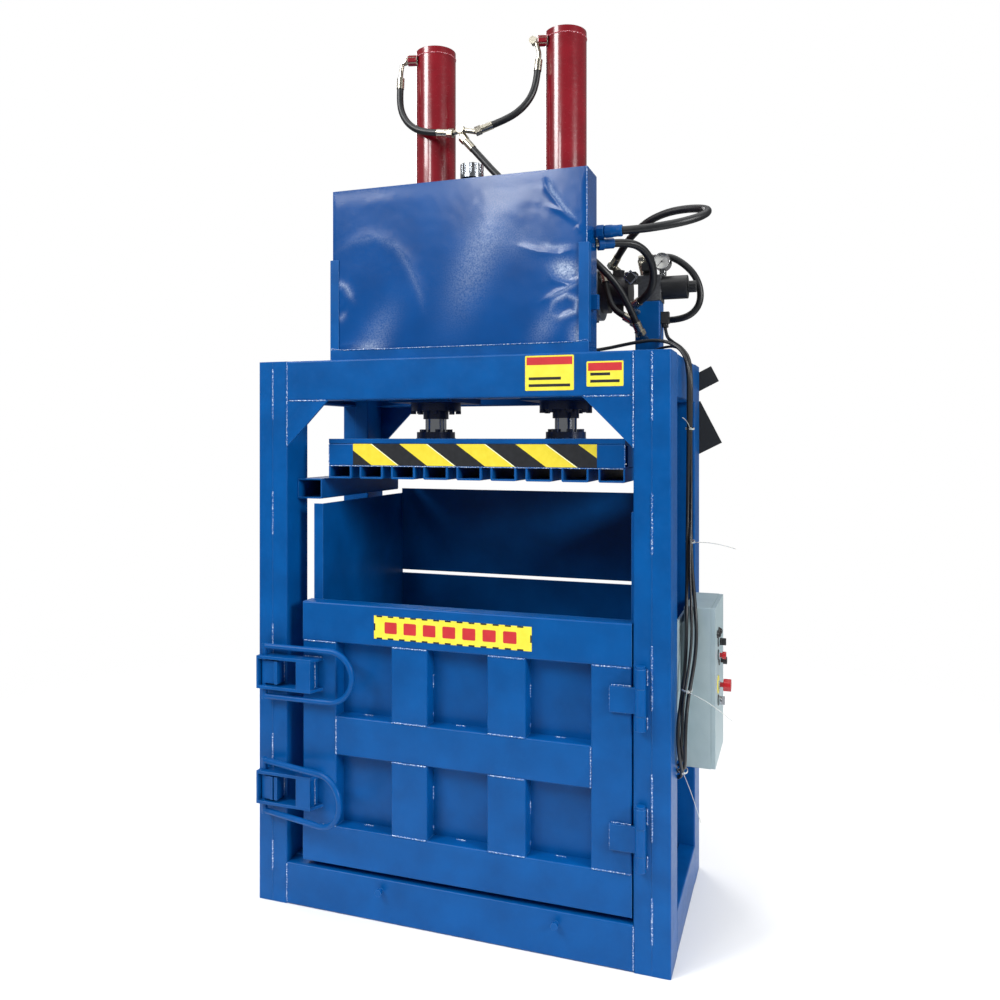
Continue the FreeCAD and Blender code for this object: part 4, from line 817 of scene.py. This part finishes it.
# Glass-filled nylon: black, slightly grey where the fibres come up.
black_moulding, tree, place = start_material("glass_filled_nylon_black")
grain = add(tree, "TexNoise", {"Vector": place, "Scale": 1 / 0.003, "Detail": 3})
shade = add(tree, "MixRGB", {"Fac": grain.outputs["Fac"], "Color1": linear("#0F1012"),
                             "Color2": linear("#2A2C2F")})
edge = add(tree, "Bevel", {"Radius": 0.0012}, samples=4)
pitted = add(tree, "Bump", {"Height": grain.outputs["Fac"], "Normal": edge.outputs["Normal"],
                            "Strength": 0.2, "Distance": 0.0003})
gloss = add(tree, "MapRange", {"Value": grain.outputs["Fac"], "To Min": 0.3, "To Max": 0.5})
finish_material(tree, add(tree, "BsdfPrincipled", {
    "Base Color": shade.outputs["Color"], "Roughness": gloss.outputs["Result"],
    "Normal": pitted.outputs["Normal"], "IOR": 1.53}))
coat(black_moulding, "valve_coils", "relief_knob", "selector_switch", "black_button", "gauge_needle")

shape = bmesh.new()
lathe(shape, (44, -267.5, 2516), (0, 0, 1),
      [(0.2, 25), (0.2, 46), (3, 46.5), (5, 44), (7, 34), (13.5, 32), (13.5, 25)])
bmesh.ops.recalc_face_normals(shape, faces=shape.faces)
mesh_piece("filler_base", shape, [black_moulding], "frame")


# ---- power unit ---------------------------------------------------------
# Finned aluminium motor in grey enamel, cast-iron gear pump, a ground steel
# manifold, black solenoid coils and a stainless pressure gauge.
GREYS = (("aluminium_die_cast_grey_enamel", "#6E7A86", "#8E9AA5", 0.45, 0.0, ("electric_motor",)),
         ("cast_iron_bare_oiled", "#3B3C3E", "#626264", 0.48, 0.8, ("hydraulic_pump",)),
         ("steel_ground_phosphated", "#55575A", "#86888A", 0.36, 0.9, ("valve_block", "motor_rotor")),
         ("hot_rolled_sheet_black_paint", "#101214", "#25282B", 0.72, 0.0, ("rear_flaps",)),
         ("switchgear_abs_grey", "#7D8285", "#A4A9AB", 0.5, 0.0, ("control_gear",)))
for name, dark, light, rough_at, metallic, nodes in GREYS:
    grey, tree, place = start_material(name)
    grain = add(tree, "TexNoise", {"Vector": place, "Scale": 1 / 0.008, "Detail": 5})
    shade = add(tree, "MixRGB", {"Fac": grain.outputs["Fac"], "Color1": linear(dark),
                                 "Color2": linear(light)})
    edge = add(tree, "Bevel", {"Radius": 0.0012}, samples=4)
    cast = add(tree, "Bump", {"Height": grain.outputs["Fac"], "Normal": edge.outputs["Normal"],
                              "Strength": 0.3, "Distance": 0.0006})
    gloss = add(tree, "MapRange", {"Value": grain.outputs["Fac"], "To Min": rough_at - 0.1,
                                   "To Max": rough_at + 0.1})
    finish_material(tree, add(tree, "BsdfPrincipled", {
        "Base Color": shade.outputs["Color"], "Metallic": metallic, "Roughness": gloss.outputs["Result"],
        "Normal": cast.outputs["Normal"]}))
    coat(grey, *nodes)

stainless, tree, place = start_material("stainless_steel_polished")
smear = add(tree, "TexNoise", {"Vector": place, "Scale": 1 / 0.01, "Detail": 3})
film = add(tree, "MapRange", {"Value": smear.outputs["Fac"], "To Min": 0.12, "To Max": 0.26})
tone = add(tree, "MixRGB", {"Fac": smear.outputs["Fac"], "Color1": linear("#A7A9AB"),
                            "Color2": linear("#CFD1D3")})
edge = add(tree, "Bevel", {"Radius": 0.0012}, samples=4)
finish_material(tree, add(tree, "BsdfPrincipled", {
    "Base Color": tone.outputs["Color"], "Metallic": 1.0, "Roughness": film.outputs["Result"],
    "Normal": edge.outputs["Normal"]}))
coat(stainless, "pressure_gauge")

# A clamped cover plate stands cornerwise on the side plug: bright rim, dark middle.
shape = bmesh.new()
COVER_AT = Vector((0.526, 0.0638, 2.225))
for size, thick, material in ((0.038, 0.0022, 0), (0.029, 0.0030, 1)):
    flat_on = Matrix.Rotation(math.radians(45), 4, "Y") @ Matrix.Diagonal((size, thick, size, 1))
    middle = Matrix.Translation(COVER_AT - Vector((0, thick / 2, 0)))
    made = bmesh.ops.create_cube(shape, size=1, matrix=middle @ flat_on)
    for face in {f for v in made["verts"] for f in v.link_faces}:
        face.material_index = material
mesh_piece("side_plug_cover", shape, [stainless, black_moulding], "frame", smooth=False)

# The dial is white card with 0 to 25 in plain ticks; the needle is its own part.
card, tree, place = start_material("gauge_card_white")
fibre = add(tree, "TexNoise", {"Vector": place, "Scale": 1 / 0.002})
shade = add(tree, "MixRGB", {"Fac": fibre.outputs["Fac"], "Color1": linear("#ECEDE8"),
                             "Color2": linear("#F8F8F4")})
finish_material(tree, add(tree, "BsdfPrincipled", {"Base Color": shade.outputs["Color"], "Roughness": 0.6}))
GAUGE = (631, 112, 2283)
shape = bmesh.new()
lathe(shape, GAUGE, (0, -1, 0), [(4.2, 2.2), (4.2, 26.5), (4.7, 26.5), (4.7, 2.2)], 48)
for i in range(26):
    a = math.radians(-135 + 270 / 25 * i)
    long = 5.5 if i % 5 == 0 else 3
    out = Vector((math.sin(a), 0, math.cos(a)))
    wide = Vector((math.cos(a), 0, -math.sin(a))) * (0.55 if i % 5 == 0 else 0.3)
    centre = Vector((GAUGE[0], GAUGE[1] - 4.85, GAUGE[2]))
    corners = [centre + out * (25 - long) - wide, centre + out * (25 - long) + wide,
               centre + out * 25 + wide, centre + out * 25 - wide]
    face = shape.faces.new([shape.verts.new(c / 1000) for c in corners])
    face.material_index = 1
bmesh.ops.recalc_face_normals(shape, faces=[f for f in shape.faces if f.material_index == 0])
mesh_piece("gauge_dial", shape, [card, vinyl["black"]], "frame", smooth=False)


# ---- control box --------------------------------------------------------
# Folded sheet box, powder coated pale grey-green, with moulded switches in
# collars down its door and a plated turn handle.
grey_enamel, tree, place = start_material("powder_coat_grey_green")
mottle = add(tree, "TexNoise", {"Vector": place, "Scale": 1 / 0.05, "Detail": 4})
grain = add(tree, "TexNoise", {"Vector": place, "Scale": 1 / 0.0022, "Detail": 2})
shade = add(tree, "MixRGB", {"Fac": mottle.outputs["Fac"], "Color1": linear("#96ABB1"),
                             "Color2": linear("#AEC1C6")})
edge = add(tree, "Bevel", {"Radius": 0.002}, samples=4)
pebbled = add(tree, "Bump", {"Height": grain.outputs["Fac"], "Normal": edge.outputs["Normal"],
                             "Strength": 0.25, "Distance": 0.0003})
gloss = add(tree, "MapRange", {"Value": mottle.outputs["Fac"], "To Min": 0.34, "To Max": 0.5})
finish_material(tree, add(tree, "BsdfPrincipled", {
    "Base Color": shade.outputs["Color"], "Roughness": gloss.outputs["Result"],
    "Normal": pebbled.outputs["Normal"], "IOR": 1.52}))
coat(grey_enamel, "control_box", "control_door")

red_moulding, tree, place = start_material("polycarbonate_red")
cloud = add(tree, "TexNoise", {"Vector": place, "Scale": 1 / 0.01, "Detail": 3})
shade = add(tree, "MixRGB", {"Fac": cloud.outputs["Fac"], "Color1": linear("#A50F18"),
                             "Color2": linear("#D2202A")})
edge = add(tree, "Bevel", {"Radius": 0.003}, samples=4)
finish_material(tree, add(tree, "BsdfPrincipled", {
    "Base Color": shade.outputs["Color"], "Roughness": 0.24, "Normal": edge.outputs["Normal"], "IOR": 1.58}))
coat(red_moulding, "stop_button", "red_button")

BUTTON_Y, DOOR_FACE = -80, 845
LAMPS_Y, LAMP_Z = (-112, -60), 1005
shape = bmesh.new()
for y, z in ((BUTTON_Y, 930), (BUTTON_Y + 34, 905), (BUTTON_Y, 975), (BUTTON_Y, 780)):
    lathe(shape, (DOOR_FACE, y, z), (1, 0, 0),
          [(0.2, 14.4), (0.2, 17.5), (1.6, 17.5), (3.4, 15.4), (3.4, 14.4)])
for y in LAMPS_Y:
    lathe(shape, (DOOR_FACE, y, LAMP_Z), (1, 0, 0),
          [(0.2, 9.3), (0.2, 13), (2, 13), (4, 11.4), (6.5, 11), (6.5, 9.3)])
mesh_piece("switch_collars", shape, [black_moulding], "box_door")
shape = bmesh.new()
lathe(shape, (DOOR_FACE, BUTTON_Y, 832), (1, 0, 0),
      [(0.2, 14.4), (0.2, 30), (1.2, 30), (2.2, 29), (2.2, 14.4)])
mesh_piece("stop_plate", shape, [vinyl["yellow"]], "box_door")
shape = bmesh.new()
for y in LAMPS_Y:
    lathe(shape, (DOOR_FACE, y, LAMP_Z), (1, 0, 0),
          [(6.5, 9.3), (9.2, 9.3), (11.5, 7.4), (12.8, 4), (13.2, 0.02), (9.2, 0.02), (6.5, 0.02)])
bmesh.ops.recalc_face_normals(shape, faces=shape.faces)
mesh_piece("lamp_lenses", shape, [black_moulding], "box_door")


# ---- floor and light ----------------------------------------------------
# Pale seamless floor that fades out a few metres away, a broad soft light high on
# the left, and a second one on the right that brightens the side faces.
floor_paper, tree, place = start_material("studio_floor_matt_white")
cloud = add(tree, "TexNoise", {"Vector": place, "Scale": 0.8})
shade = add(tree, "MixRGB", {"Fac": cloud.outputs["Fac"], "Color1": linear("#F1F1F1"),
                             "Color2": linear("#F7F7F7")})
paper = add(tree, "BsdfPrincipled", {"Base Color": shade.outputs["Color"], "Roughness": 0.85})
# beyond a few metres it fades out, so the room shows no horizon
far = add(tree, "VectorMath", {0: place}, operation="LENGTH")
fade = add(tree, "MapRange", {"Value": far.outputs["Value"], "From Min": 1.6,
                              "From Max": 4.0}, interpolation_type="SMOOTHSTEP")
clear = add(tree, "BsdfTransparent")
ground = tree.nodes.new("ShaderNodeMixShader")
tree.links.new(fade.outputs["Result"], ground.inputs[0])
tree.links.new(paper.outputs["BSDF"], ground.inputs[1])
tree.links.new(clear.outputs["BSDF"], ground.inputs[2])
add(tree, "OutputMaterial", {"Surface": ground.outputs["Shader"]})
shape = bmesh.new()
bmesh.ops.create_circle(shape, cap_ends=True, segments=96, radius=6)
data = bpy.data.meshes.new("studio_floor")
shape.to_mesh(data)
shape.free()
data.materials.append(floor_paper)
floor = bpy.data.objects.new("studio_floor", data)
floor.location.z = -0.001
bpy.context.scene.collection.objects.link(floor)

world = bpy.data.worlds.new("white_studio")
world.use_nodes = True
tree = world.node_tree
tree.nodes.clear()
# the room behind is white, but lights the object only softly
seen = add(tree, "LightPath")
power = add(tree, "MapRange", {"Value": seen.outputs["Is Camera Ray"], "To Min": 0.20, "To Max": 1.0})
room = add(tree, "Background", {"Color": linear("#FFFFFF"), "Strength": power.outputs["Result"]})
add(tree, "OutputWorld", {"Surface": room.outputs["Background"]})
bpy.context.scene.world = world
bpy.context.scene.view_settings.view_transform = "Standard"

overhead = bpy.data.objects.new("overhead", bpy.data.lights.new("overhead", "SUN"))
overhead.data.energy = 2.1
overhead.data.angle = math.radians(80)
bpy.context.scene.collection.objects.link(overhead)
for name, place, aim, size, power in (("key", (-3.4, -4.4, 5.4), (0, 0, 1.2), 2.2, 300),
                                      ("window", (-1.2, -4.6, 3.95), (0.1, -0.3, 2.2), 0.8, 34),
                                      ("side", (5.4, -2.4, 3.2), (0.3, 0, 1.4), 1.6, 230),
                                      ("back", (-3.0, 4.6, 5.0), (0, 0, 1.6), 2.4, 120)):
    lamp = bpy.data.objects.new(name, bpy.data.lights.new(name, "AREA"))
    lamp.data.size = size
    lamp.data.energy = power
    lamp.location = place
    lamp.rotation_euler = (Vector(aim) - Vector(place)).to_track_quat("-Z", "Y").to_euler()
    bpy.context.scene.collection.objects.link(lamp)
